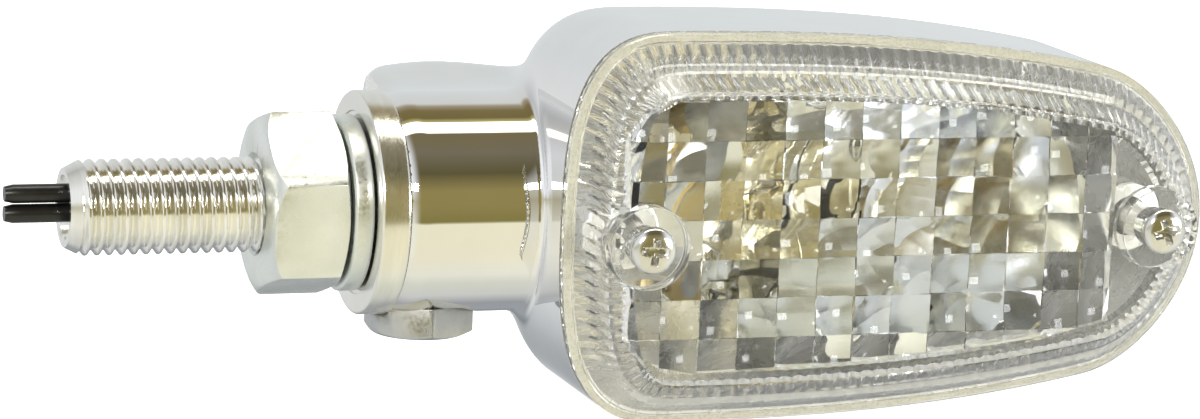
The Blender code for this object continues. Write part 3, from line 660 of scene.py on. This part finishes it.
def make_housing(looks):
    past = 3 * MM
    rough = body_solid(outline(260), RIM_Y - past, BODY_BACK)
    form = carve(rough, ("UNION", neck_solid()))
    form = applied(form, ("REMESH", {"mode": "VOXEL", "voxel_size": VOXEL}))
    form = drawn_onto_form(form)
    wide = 40 * MM
    cavity = body_solid(inset(outline(260), WALL), RIM_Y - 2 * past, BODY_BACK - WALL)
    bolt_pocket = point_z(rod_x(BOLT_POCKET_R, -16 * MM, BOLT_HEAD_TOP + 0.05 * MM), BOLT_X)
    bolt_hole = point_z(rod_x(BOLT_SHANK_R + 0.3 * MM, -12 * MM, -5 * MM), BOLT_X)
    shell = carve(
        form,
        ("DIFFERENCE", block((0, RIM_Y - wide, -wide), (3 * wide, RIM_Y, wide))),
        ("DIFFERENCE", block((-wide, -wide, -wide), (NECK_START, wide, wide))),
        ("DIFFERENCE", cavity),
        ("DIFFERENCE", rod_x(NECK_BORE_R, 0, BORE_END)),
        ("DIFFERENCE", bolt_pocket),
        ("DIFFERENCE", bolt_hole),
    )
    place("housing", shell, "lamp", looks["chrome"], ["housing_shell"], crease=35)
    shell.materials.append(looks["chrome_inside"])
    follow_form(shell)


def make_posts(looks):
    """The two posts that the lens screws hold in."""
    bore_end = POST_FRONT - POST_BORE_DEEP
    for name, back in POST_BACKS.items():
        corners = [(-back, 0), (-back, POST_R), (POST_FRONT, POST_R), (POST_FRONT, POST_BORE_R)]
        profile = soften(corners, 0.3 * MM) + [(bore_end, POST_BORE_R), (bore_end, 0)]
        mesh = point_minus_y(turned(profile, 64), SCREWS[name].x, SCREWS[name].z)
        place(f"screw_post_{name}", mesh, "lamp", looks["chrome_inside"])


# Lens


def tier_rings(edge, shift, ribs):
    """The rings of the lens's two sloping tiers, set in by shift; ribs gives each ring its waves."""
    tiers = (
        ((0.9 * MM, FLANGE_FRONT - 0.3 * MM), (STEP_IN, STEP_Y)),
        ((STEP_IN + 0.35 * MM, STEP_Y - 0.25 * MM), (FRONT_IN, FRONT_Y)),
    )
    rings = []
    for tier, (start, end) in enumerate(tiers):
        for t in np.linspace(0, 1, 7):
            inwards, y = (a + (b - a) * t for a, b in zip(start, end))
            wave = ribs(t, tier) if ribs else 0.0
            rings.append(ring(inset(edge, inwards + shift + wave * 0.5), y + wave * 0.8))
    return rings


def rib_waves(edge):
    """Moulded ribs: they lean one way on the outer tier and the other way on the inner one."""
    count = len(edge)
    steps = np.hypot(*(edge - np.roll(edge, 1, 0)).T)
    ribs = round(steps.sum() / (1.5 * MM))
    around = np.arange(count) / count * ribs
    lower = np.clip((-edge[:, 1] - 0.62 * RIM_HALF_HIGH) / (0.2 * RIM_HALF_HIGH), 0, 1)
    screw_gap = np.minimum(*(np.hypot(edge[:, 0] - at.x, edge[:, 1] - at.z) for at in SCREWS.values()))
    clear_of_boss = np.clip((screw_gap - 5.0 * MM) / (2.0 * MM), 0, 1)

    def waves(t, tier):
        strength = (1 - (0.95 if tier == 0 else 0.4) * lower) * clear_of_boss
        lean = 0.75 * t if tier == 0 else 0.75 - 0.9 * t
        phase = (around + lean) * TURN
        ends = math.sin(math.pi * min(1, 0.12 + 0.88 * t)) ** 0.4 if tier else math.sin(math.pi * t) ** 0.7
        return 0.42 * MM * strength * np.abs(np.sin(phase / 2)) * abs(ends)

    return waves


def lens_shell(edge):
    """The cover without its prisms: smooth outside, ribbed inside."""
    outer = [ring(edge, FLANGE_BACK), ring(edge, FLANGE_FRONT + 0.2 * MM)]
    outer += [ring(inset(edge, 0.15 * MM), FLANGE_FRONT)]
    outer += [ring(inset(edge, 0.75 * MM), FLANGE_FRONT - 0.05 * MM)]
    outer += tier_rings(edge, 0.0, None)
    outer += [ring(inset(edge, FRONT_IN + 0.25 * MM), FRONT_Y)]
    solid = sheet(outer, around=True, caps=True)
    waves = rib_waves(edge)
    inner = [ring(inset(edge, LIP), FLANGE_BACK + 2 * MM), ring(inset(edge, LIP), FLANGE_FRONT + 0.5 * MM)]
    inner += tier_rings(edge, SIDE_WALL, waves)[1:-1]
    inner += [ring(inset(edge, FRONT_IN + SIDE_WALL + 0.3 * MM), FRONT_Y + LENS_WALL)]
    lifted = [inner[0], inner[1]]
    for row in inner[2:]:
        row = row.copy()
        row[:, 1] = np.maximum(row[:, 1] + 0.4 * MM, FRONT_Y + LENS_WALL)
        lifted.append(row)
    return solid, sheet(lifted, around=True, caps=True)


def prism_area():
    """Outline of the field of prisms, in the X-Z plane."""
    top = [(21.7, 9.9), (23.6, 12.4), (26.6, 14.1), (38.0, 14.0)]
    top += [(48.7, 13.6), (59.5, 12.7), (69.0, 11.2), (73.8, 10.3)]
    bottom = [(73.8, -9.3), (67.6, -10.7), (61.4, -11.5), (53.4, -12.3)]
    bottom += [(45.9, -12.9), (29.0, -13.5), (24.7, -12.6), (22.3, -10.2)]
    return [(x * MM, z * MM) for x, z in top + bottom]


def prism_cutter():
    """Carves the back of the lens front into rows of pillow-shaped cells."""
    fine = 8
    first, last = -3, 12
    below = 4
    within = np.linspace(0.004, 0.996, fine + 1)
    columns = np.concatenate([cell + within for cell in range(first, last)])
    rows = np.concatenate([cell + within for cell in range(-below, below)])
    u, v = np.meshgrid(columns, rows, indexing="ij")
    cell_u, cell_v = np.floor(u).astype(int), np.floor(v).astype(int)
    within_u, within_v = u - cell_u - 0.5, v - cell_v - 0.5
    rng = np.random.default_rng(7)
    tilts = rng.uniform(-1, 1, (last - first, 2 * below, 2)) * CELL_TILT
    tilt = tilts[cell_u - first, cell_v + below]
    pillow = CELL_DEEP * 2 * (within_u**2 + within_v**2)
    depth = pillow + tilt[..., 0] * within_u + tilt[..., 1] * within_v
    depth = np.clip(depth + CELL_TILT, 0.05 * MM, LENS_WALL - 0.5 * MM)
    x = CELL_FIRST_X + columns * CELL_LONG
    z = (rows + 0.5) * CELL_HIGH
    gx, gz = np.meshgrid(x, z, indexing="ij")
    face = np.stack([gx, FRONT_Y + LENS_WALL - depth, gz], -1)
    back = face.copy()
    back[..., 1] = FRONT_Y + LENS_WALL + MM
    rim_front = np.concatenate([face[:, 0], face[-1, 1:], face[-2::-1, -1], face[0, -2:0:-1]])
    rim_back = np.concatenate([back[:, 0], back[-1, 1:], back[-2::-1, -1], back[0, -2:0:-1]])
    work = bmesh.new()
    for mesh in (sheet(face), sheet([rim_front, rim_back], around=True)):
        work.from_mesh(mesh)
    bmesh.ops.remove_doubles(work, verts=work.verts, dist=1e-7)
    open_edges = [edge for edge in work.edges if edge.is_boundary]
    bmesh.ops.contextual_create(work, geom=open_edges)
    bmesh.ops.recalc_face_normals(work, faces=work.faces)
    solid = bpy.data.meshes.new("cells")
    work.to_mesh(solid)
    work.free()
    area = np.array(prism_area())
    depth = [ring(area, FRONT_Y), ring(area, FRONT_Y + LENS_WALL + 0.6 * MM)]
    keep = sheet(depth, around=True, caps=True)
    steps = [("INTERSECT", keep)]
    for at in SCREWS.values():
        steps.append(("DIFFERENCE", point_minus_y(rod_x(BOSS_R + 0.1 * MM, 10 * MM, 30 * MM), at.x, at.z)))
    return carve(solid, *steps)


def make_lens(looks):
    edge = outline(1400)
    solid, hollow = lens_shell(edge)
    steps = [("DIFFERENCE", hollow), ("DIFFERENCE", prism_cutter())]
    back, front = -FRONT_Y - LENS_WALL - 1.2 * MM, -FRONT_Y + 0.15 * MM
    boss = soften([(back, 0), (back, BOSS_R), (front, BOSS_R), (front, 0)], 0.12 * MM)
    for at in SCREWS.values():
        steps.append(("UNION", point_minus_y(turned(boss, 96), at.x, at.z)))
        steps.append(("DIFFERENCE", point_minus_y(rod_x(SCREW_HOLE_R, 10 * MM, 30 * MM), at.x, at.z)))
    lens = carve(solid, *steps)
    place("lens_cover", lens, "lamp", looks["lens"], ["lens"], crease=24)
    lens.materials.append(looks["lens_ribs"])
    for face in lens.polygons:
        inside = face.normal.y > 0.1 and face.center.y > FRONT_Y + LENS_WALL + 0.05 * MM
        face.material_index = int(inside and face.center.y < FLANGE_BACK - 0.05 * MM)


def make_gasket(looks):
    edge = outline(360)
    front, back = GASKET_LOW.y, GASKET_HIGH.y
    outer, inner = 0.05 * MM, 1.4 * MM
    section = soften([(outer, back), (outer, front), (inner, front), (inner, back)], 0.1 * MM, 3, True)
    rows = [ring(inset(edge, inwards), y) for inwards, y in section]
    mesh = sheet(rows, around=True, along=True)
    place("gasket", mesh, "lamp", looks["gasket"], ["lens_gasket"])


def make_lens_screws(looks):
    """Pan heads with a cross recess."""
    seat, top = -FRONT_Y + 0.25 * MM, -SCREW_LOW.y
    head_r = (SCREW_HIGH.x - SCREW_LOW.x) / 2
    for side, roll in (("left", -0.1), ("right", 0.3)):
        profile = [(top, 0)]
        for step in range(1, 11):
            angle = math.pi / 2 * step / 10
            profile.append((top - 0.9 * MM * (1 - math.cos(angle) ** 0.8), head_r * math.sin(angle) ** 0.8))
        profile += [(seat + 0.15 * MM, head_r), (seat, head_r - 0.15 * MM), (seat, 1.7 * MM)]
        profile += [(-SCREW_HIGH.y + 1.2 * MM, 1.7 * MM), (-SCREW_HIGH.y, 0)]
        screw = turned(profile, 96)
        steps = []
        for quarter in range(2):
            wing = block((-1.3 * MM, -0.42 * MM, -1.65 * MM), (0.4 * MM, 0.42 * MM, 1.65 * MM))
            work = bmesh.new()
            work.from_mesh(wing)
            for vertex in work.verts:
                if vertex.co.x < 0:
                    vertex.co.z *= 0.45
                    vertex.co.y *= 0.7
            work.to_mesh(wing)
            work.free()
            turn = Matrix.Rotation(roll + quarter * math.pi / 2, 4, "X")
            wing.transform(Matrix.Translation((top, 0, 0)) @ turn)
            steps.append(("DIFFERENCE", wing))
        screw = carve(screw, *steps)
        edges = {"width": 0.06 * MM, "segments": 2, "angle_limit": math.radians(40)}
        screw = applied(screw, ("BEVEL", edges))
        point_minus_y(screw, SCREWS[side].x, SCREWS[side].z)
        place(f"cover_screw_{side}", screw, "lamp", looks["bright"], [f"lens_screw_{side}"])


# Stud, collar, nut, washer and bolt


def make_stud(looks):
    """The hollow stud with its rolled thread."""
    around = 96
    tip, end = STUD_LOW.x, STUD_HIGH.x
    thread_end = 1.0 * MM
    x = np.arange(tip, thread_end, THREAD_PITCH / 12)
    angles = np.linspace(0, TURN, around, endpoint=False)
    gx, ga = np.meshgrid(x, angles, indexing="ij")
    phase = (gx / THREAD_PITCH - ga / TURN) % 1.0
    flank = np.clip((np.abs(2 * phase - 1) - 0.16) / 0.66, 0, 1)
    flank = flank * flank * (3 - 2 * flank) * 0.35 + flank * 0.65
    started = np.clip((gx - tip - 0.7 * MM) / (0.9 * MM), 0, 1)
    radius = STUD_R - THREAD_DEEP * (1 - flank) * started
    cone = STUD_TIP_R + (gx - tip) * (STUD_R - STUD_TIP_R) / STUD_CHAMFER
    radius = np.minimum(radius, cone)
    rows = list(np.stack([gx, radius * np.cos(ga), radius * np.sin(ga)], -1))
    bore = [(end, STUD_R - THREAD_DEEP), (end, STUD_BORE_R)]
    bore += [(tip + 0.25 * MM, STUD_BORE_R), (tip, STUD_BORE_R + 0.2 * MM)]
    for place_x, r in bore:
        rows.append(np.stack([np.full(around, place_x), r * np.cos(angles), r * np.sin(angles)], 1))
    mesh = sheet(rows, around=True, along=True)
    place("stud", mesh, "stud", looks["zinc_turned"], ["threaded_stud"], crease=40)


def make_collar(looks):
    bore = STUD_R + 0.3 * MM
    groove_left, groove_right = BOLT_X - SPIGOT_GROOVE_HALF, BOLT_X + SPIGOT_GROOVE_HALF
    profile = [(COLLAR_HIGH.x, SPIGOT_R), (groove_right, SPIGOT_R), (groove_right, SPIGOT_GROOVE_R)]
    profile += [(groove_left, SPIGOT_GROOVE_R), (groove_left, SPIGOT_R)]
    profile += [(COLLAR_LONG, SPIGOT_R), (COLLAR_LONG, COLLAR_R)]
    profile += [(0, COLLAR_R), (0, 9.35 * MM), (0.2 * MM, 9.35 * MM), (0.2 * MM, bore), (COLLAR_HIGH.x, bore)]
    mesh = turned(soften(profile, 0.35 * MM, 5, True), 160, closed=True)
    place("collar", mesh, "stud", looks["collar"], ["collar_spigot"], crease=20)


def hexagon(across_flats, low, high, roll):
    """A hexagonal prism along X; its callers round its edges with rounded()."""
    work = bmesh.new()
    corner = across_flats / 2 / math.cos(math.pi / 6)
    bmesh.ops.create_cone(work, cap_ends=True, segments=6, radius1=corner, radius2=corner, depth=high - low)
    bmesh.ops.rotate(work, matrix=Matrix.Rotation(roll, 3, "Z"), verts=work.verts)
    bmesh.ops.translate(work, vec=(0, 0, (low + high) / 2), verts=work.verts)
    bmesh.ops.rotate(work, matrix=Matrix.Rotation(math.pi / 2, 3, "Y"), verts=work.verts)
    mesh = bpy.data.meshes.new("hexagon")
    work.to_mesh(mesh)
    work.free()
    return mesh


def rounded(mesh, width):
    """Rounds the edges that turn by more than 24 degrees."""
    edges = {"width": width, "segments": 3, "angle_limit": math.radians(24), "harden_normals": True}
    return applied(mesh, ("BEVEL", edges))


def make_nut(looks):
    low, high = NUT_LOW.x, NUT_HIGH.x
    flat = NUT_FLATS / 2
    corner = flat / math.cos(math.pi / 6)
    profile = [(high, 0), (high, flat * 0.97)]
    profile += [(high - NUT_RIGHT_CHAMFER, corner + MM), (low + 4 * MM, corner + MM)]
    for step in range(9):
        angle = math.pi / 2 * (1 - step / 8)
        reach = flat * 0.84 + (corner + 0.3 * MM - flat * 0.84) * math.sin(angle)
        profile.append((low + NUT_LEFT_CHAMFER * (1 - math.cos(angle)), reach))
    profile.append((low, 0))
    bore = [(low - MM, 0), (low - MM, STUD_R + 1.2 * MM), (low + 0.9 * MM, STUD_R - 0.3 * MM)]
    bore += [(high - 0.9 * MM, STUD_R - 0.3 * MM), (high + MM, STUD_R + 1.2 * MM), (high + MM, 0)]
    nut = carve(
        hexagon(NUT_FLATS, low, high, NUT_TURNED),
        ("INTERSECT", turned(profile, 160)),
        ("DIFFERENCE", turned(bore, 96)),
    )
    nut = rounded(nut, 0.14 * MM)
    place("nut", nut, "nut", looks["zinc"], ["mounting_nut"], crease=0)


def make_washer(looks):
    """A split spring washer: a square bar wound once round, its ends a little apart."""
    bore, outer = STUD_R + 0.3 * MM, WASHER_HIGH.z
    thick = WASHER_HIGH.x - WASHER_LOW.x
    section = soften([(-0.5, 0), (0.5, 0), (0.5, 1), (-0.5, 1)], 0.16, 4, True)
    section = [(a * (thick - 0.3 * MM), bore + b * (outer - bore)) for a, b in section]
    gap = math.radians(5)
    rows = []
    for step in range(121):
        t = step / 120
        angle = WASHER_SPLIT_AT + gap + (TURN - 2 * gap) * t
        middle = (WASHER_LOW.x + WASHER_HIGH.x) / 2 + (t - 0.5) * 0.3 * MM
        rows.append([(middle + a, -r * math.sin(angle), r * math.cos(angle)) for a, r in section])
    mesh = sheet(rows, around=True, caps=True)
    place("split_washer", mesh, "washer", looks["zinc"], ["lock_washer"], crease=35)


def make_bolt(looks):
    low, high = BOLT_LOW.z, BOLT_HEAD_TOP
    flat = BOLT_FLATS / 2
    profile = [(high, 0), (high, flat * 1.3), (low + 0.9 * MM, flat * 1.3), (low, flat * 0.94), (low, 0)]
    bolt = carve(
        hexagon(BOLT_FLATS, low, high, 0),
        ("INTERSECT", turned(profile, 128)),
        ("UNION", rod_x(BOLT_SHANK_R, high - 0.5 * MM, BOLT_HIGH.z)),
    )
    bolt = rounded(bolt, 0.12 * MM)
    point_z(bolt, BOLT_X)
    room = 8 * MM
    beside_collar = block((-room, -room, -COLLAR_R - 0.1 * MM), (COLLAR_CLEAR, room, 0))
    bolt = carve(bolt, ("DIFFERENCE", beside_collar))
    place("bolt", bolt, "lamp", looks["zinc_dull"], ["clamp_bolt"], crease=0)


def make_wires(looks):
    """The two wires that leave the stud."""
    radius = 0.95 * MM
    bend = STUD_LOW.x
    turns = np.linspace(0, TURN, 32, endpoint=False)
    for side, name in ((1, "signal"), (-1, "ground")):
        low, high = span(f"{name}_wire")
        inner_z = side * MM
        tip_z = inner_z + 0.5 * MM
        rows = []
        for step in range(61):
            t = step / 60
            x = low.x + (high.x - low.x) * t
            along = min(1.0, max(0.0, (x - bend) / (high.x - bend)))
            centre = Vector((x, 0, tip_z + (inner_z - tip_z) * along))
            end = min(1.0, t / 0.006 if t < 0.5 else (1 - t) / 0.006)
            r = radius * (0.8 + 0.2 * end) if end < 1 else radius
            rows.append([centre + Vector((0, r * math.cos(a), r * math.sin(a))) for a in turns])
        mesh = sheet(rows, around=True, caps=True)
        place(f"{name}_cable", mesh, "stud", looks["wire"], [f"{name}_wire"])


def make_contact_spring(looks):
    """The spring behind the bulb's contact, built at one length; the real one shortens as the bulb is pressed
    in.
    """
    low, high = span("contact_spring")
    coil_r = high.z - SPRING_WIRE_R
    long = high.x - low.x
    rows = []
    for step in range(61):
        t = step / 60
        out = Vector((0, math.cos(2 * TURN * t), math.sin(2 * TURN * t)))
        centre = out * coil_r + Vector((low.x + SPRING_WIRE_R + (long - 2 * SPRING_WIRE_R) * t, 0, 0))
        along = Vector((SPRING_WIRE_R, 0, 0))
        turns = np.linspace(0, TURN, 12, endpoint=False)
        rows.append([centre + out * SPRING_WIRE_R * math.cos(a) + along * math.sin(a) for a in turns])
    mesh = sheet(rows, around=True, caps=True)
    piece = place("contact_coil", mesh, "lamp", looks["bright"], ["contact_spring"])
    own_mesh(piece)


def dress_cad(looks):
    """Gives the CAD nodes that stay in view their own materials."""
    wanted = {
        "reflector": "reflector",
        "bulb_glass": "amber",
        "bulb_base": "brass",
        "bulb_contact": "solder",
        "bulb_filament": "tungsten",
        "bulb_socket": "bright",
        "socket_bracket": "bright",
        "bracket_screw_upper": "bright",
        "bracket_screw_lower": "bright",
        "contact_plunger": "brass",
        "contact_insulator": "board",
        "signal_lead": "wire",
        "ground_lead": "wire",
        "wire_grommet": "rubber",
    }
    for name, look in wanted.items():
        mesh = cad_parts[name].data
        mesh.materials.clear()
        mesh.materials.append(looks[look])


# Surroundings, floor, lights and camera

# The camera that was fitted to the photo: turn, tilt and roll in degrees, then sensor, lens and place in mm
CAMERA_ANGLES = (18.686, 10.483, 2.358)
CAMERA_SENSOR = 36.0
CAMERA_LENS = 130.67
CAMERA_FROM_HUB = (-115.872, -421.083, 80.958)

# Name, place and size in metres, power in watts, and colour
LIGHTS = (
    ("key", (-0.30, -0.85, 0.40), 0.12, 3.0, (1.0, 0.98, 0.94)),
    ("fill", (0.80, -0.70, 0.05), 0.40, 6.0, (0.95, 0.98, 1.0)),
)

# Tones of the surroundings by the angle about X in degrees: 0 is ahead of the lens and 90 is up
SKY = [
    (-180, (0.65, 0.68, 0.69)),
    (-166, (0.60, 0.62, 0.63)),
    (-154, (0.22, 0.24, 0.26)),
    (-142, (0.31, 0.33, 0.35)),
    (-122, (0.31, 0.32, 0.34)),
    (-104, (0.57, 0.58, 0.55)),
    (-84, (0.64, 0.65, 0.56)),
    (-72, (0.78, 0.77, 0.66)),
    (-50, (0.82, 0.78, 0.59)),
    (-14, (0.82, 0.78, 0.57)),
    (-12, (0.22, 0.19, 0.06)),
    (5, (0.27, 0.22, 0.08)),
    (20, (0.27, 0.22, 0.08)),
    (38, (0.105, 0.09, 0.04)),
    (60, (0.165, 0.145, 0.095)),
    (84, (0.175, 0.14, 0.07)),
    (86, (7.0, 6.9, 6.3)),
    (96, (7.0, 6.9, 6.3)),
    (98, (0.52, 0.47, 0.22)),
    (104, (0.17, 0.135, 0.05)),
    (116, (0.19, 0.15, 0.065)),
    (124, (0.34, 0.29, 0.20)),
    (129, (0.61, 0.62, 0.6)),
    (160, (0.63, 0.66, 0.66)),
    (180, (0.65, 0.68, 0.69)),
]
CHROME_SHARE = 0.88
ASIDE = [
    (-180, (0.70, 0.71, 0.71)),
    (-100, (0.60, 0.61, 0.60)),
    (-45, (0.86, 0.85, 0.78)),
    (-12, (0.80, 0.79, 0.70)),
    (10, (0.50, 0.48, 0.36)),
    (26, (0.85, 0.87, 0.88)),
    (62, (0.86, 0.88, 0.90)),
    (90, (0.66, 0.67, 0.67)),
    (130, (0.48, 0.49, 0.50)),
    (180, (0.70, 0.71, 0.71)),
]


def surroundings(node, direction):
    """The colour seen in a direction: bands that run along X, as a long softbox gives, and a room aside."""
    parts = node("ShaderNodeSeparateXYZ", {"Vector": direction})
    ahead = node("ShaderNodeMath", {0: parts.outputs["Y"], 1: -1.0}, operation="MULTIPLY").outputs[0]
    angle = node("ShaderNodeMath", {0: parts.outputs["Z"], 1: ahead}, operation="ARCTAN2").outputs[0]
    whole_turn = {"Value": angle, "From Min": -math.pi, "From Max": math.pi, "To Min": 0.0, "To Max": 1.0}
    share = node("ShaderNodeMapRange", whole_turn).outputs[0]
    bands = []
    for stops in (SKY, ASIDE):
        scaled = []
        for degrees, colour in stops:
            scaled.append(((degrees + 180) / 360, tuple(part / CHROME_SHARE for part in colour)))
        bands.append(ramp(node, share, scaled))
    shares = []
    for start, full in ((0.5, 0.8), (-0.12, -0.42)):
        limits = {"Value": parts.outputs["X"], "From Min": start, "From Max": full}
        shares.append(node("ShaderNodeMapRange", limits, interpolation_type="SMOOTHSTEP").outputs[0])
    aside = node("ShaderNodeMath", {0: shares[0], 1: shares[1]}, operation="MAXIMUM").outputs[0]
    return node("ShaderNodeMix", {0: aside, 6: bands[0], 7: bands[1]}, data_type="RGBA").outputs[2]


def make_world():
    world = bpy.data.worlds.new("studio")
    bpy.context.scene.world = world
    world.use_nodes = True
    tree = world.node_tree
    tree.nodes.clear()
    node = node_maker(tree)
    direction = node("ShaderNodeTexCoord").outputs["Generated"]
    seen = node("ShaderNodeLightPath").outputs["Is Camera Ray"]
    around = surroundings(node, direction)
    colour = node("ShaderNodeMix", {0: seen, 6: around, 7: (1, 1, 1, 1)}, data_type="RGBA").outputs[2]
    shader = node("ShaderNodeBackground", {"Color": colour, "Strength": 1.0})
    node("ShaderNodeOutputWorld", {"Surface": shader.outputs["Background"]})


def make_floor():
    """A pale floor just under the lamp. In reflections it takes the tone of the surroundings."""
    work = bmesh.new()
    bmesh.ops.create_circle(work, cap_ends=True, segments=96, radius=6.0)
    mesh = bpy.data.meshes.new("floor")
    work.to_mesh(mesh)
    work.free()
    floor = bpy.data.objects.new("floor", mesh)
    floor.location.z = CAD_BOX[0].z - 0.2 * MM
    bpy.context.scene.collection.objects.link(floor)
    material, node = graph("floor")
    path = node("ShaderNodeLightPath")
    incoming = node("ShaderNodeNewGeometry").outputs["Incoming"]
    direction = node("ShaderNodeVectorMath", {0: incoming, 1: (-1, -1, -1)}, operation="MULTIPLY").outputs[0]
    around = node("ShaderNodeEmission", {"Color": surroundings(node, direction), "Strength": 1.0})
    matt = node("ShaderNodeBsdfDiffuse", {"Color": (0.9, 0.9, 0.9, 1)})
    glow = node("ShaderNodeEmission", {"Color": (1, 1, 1, 1), "Strength": 0.62})
    lit = node("ShaderNodeAddShader", {0: matt.outputs[0], 1: glow.outputs[0]})
    seen = path.outputs["Is Camera Ray"]
    mixed = node("ShaderNodeMixShader", {0: seen, 1: around.outputs[0], 2: lit.outputs[0]})
    node("ShaderNodeOutputMaterial", {"Surface": mixed.outputs["Shader"]})
    mesh.materials.append(material)


def make_lights():
    for name, at, size, power, colour in LIGHTS:
        data = bpy.data.lights.new(name, "AREA")
        data.size = size
        data.energy = power
        data.color = colour
        lamp = bpy.data.objects.new(name, data)
        lamp.location = at
        lamp.rotation_mode = "QUATERNION"
        lamp.rotation_quaternion = (-Vector(at)).to_track_quat("-Z", "Y")
        bpy.context.scene.collection.objects.link(lamp)


def make_camera():
    azimuth, elevation, roll = (math.radians(angle) for angle in CAMERA_ANGLES)
    data = bpy.data.cameras.new("camera")
    data.sensor_width = CAMERA_SENSOR
    data.lens = CAMERA_LENS
    data.clip_start = 0.01
    camera = bpy.data.objects.new("camera", data)
    level = math.cos(elevation)
    ahead = Vector((math.sin(azimuth) * level, math.cos(azimuth) * level, -math.sin(elevation)))
    camera.location = HUB + Vector(CAMERA_FROM_HUB) * MM
    camera.rotation_mode = "QUATERNION"
    camera.rotation_quaternion = ahead.to_track_quat("-Z", "Y") @ Quaternion((0, 0, 1), roll)
    bpy.context.scene.collection.objects.link(camera)
    bpy.context.scene.camera = camera
    bpy.context.scene.view_settings.view_transform = "Standard"


def build():
    looks = make_materials()
    make_housing(looks)
    make_posts(looks)
    make_lens(looks)
    make_gasket(looks)
    make_lens_screws(looks)
    make_stud(looks)
    make_collar(looks)
    make_nut(looks)
    make_washer(looks)
    make_bolt(looks)
    make_wires(looks)
    make_contact_spring(looks)
    dress_cad(looks)
    make_world()
    make_floor()
    make_lights()
    make_camera()


build()
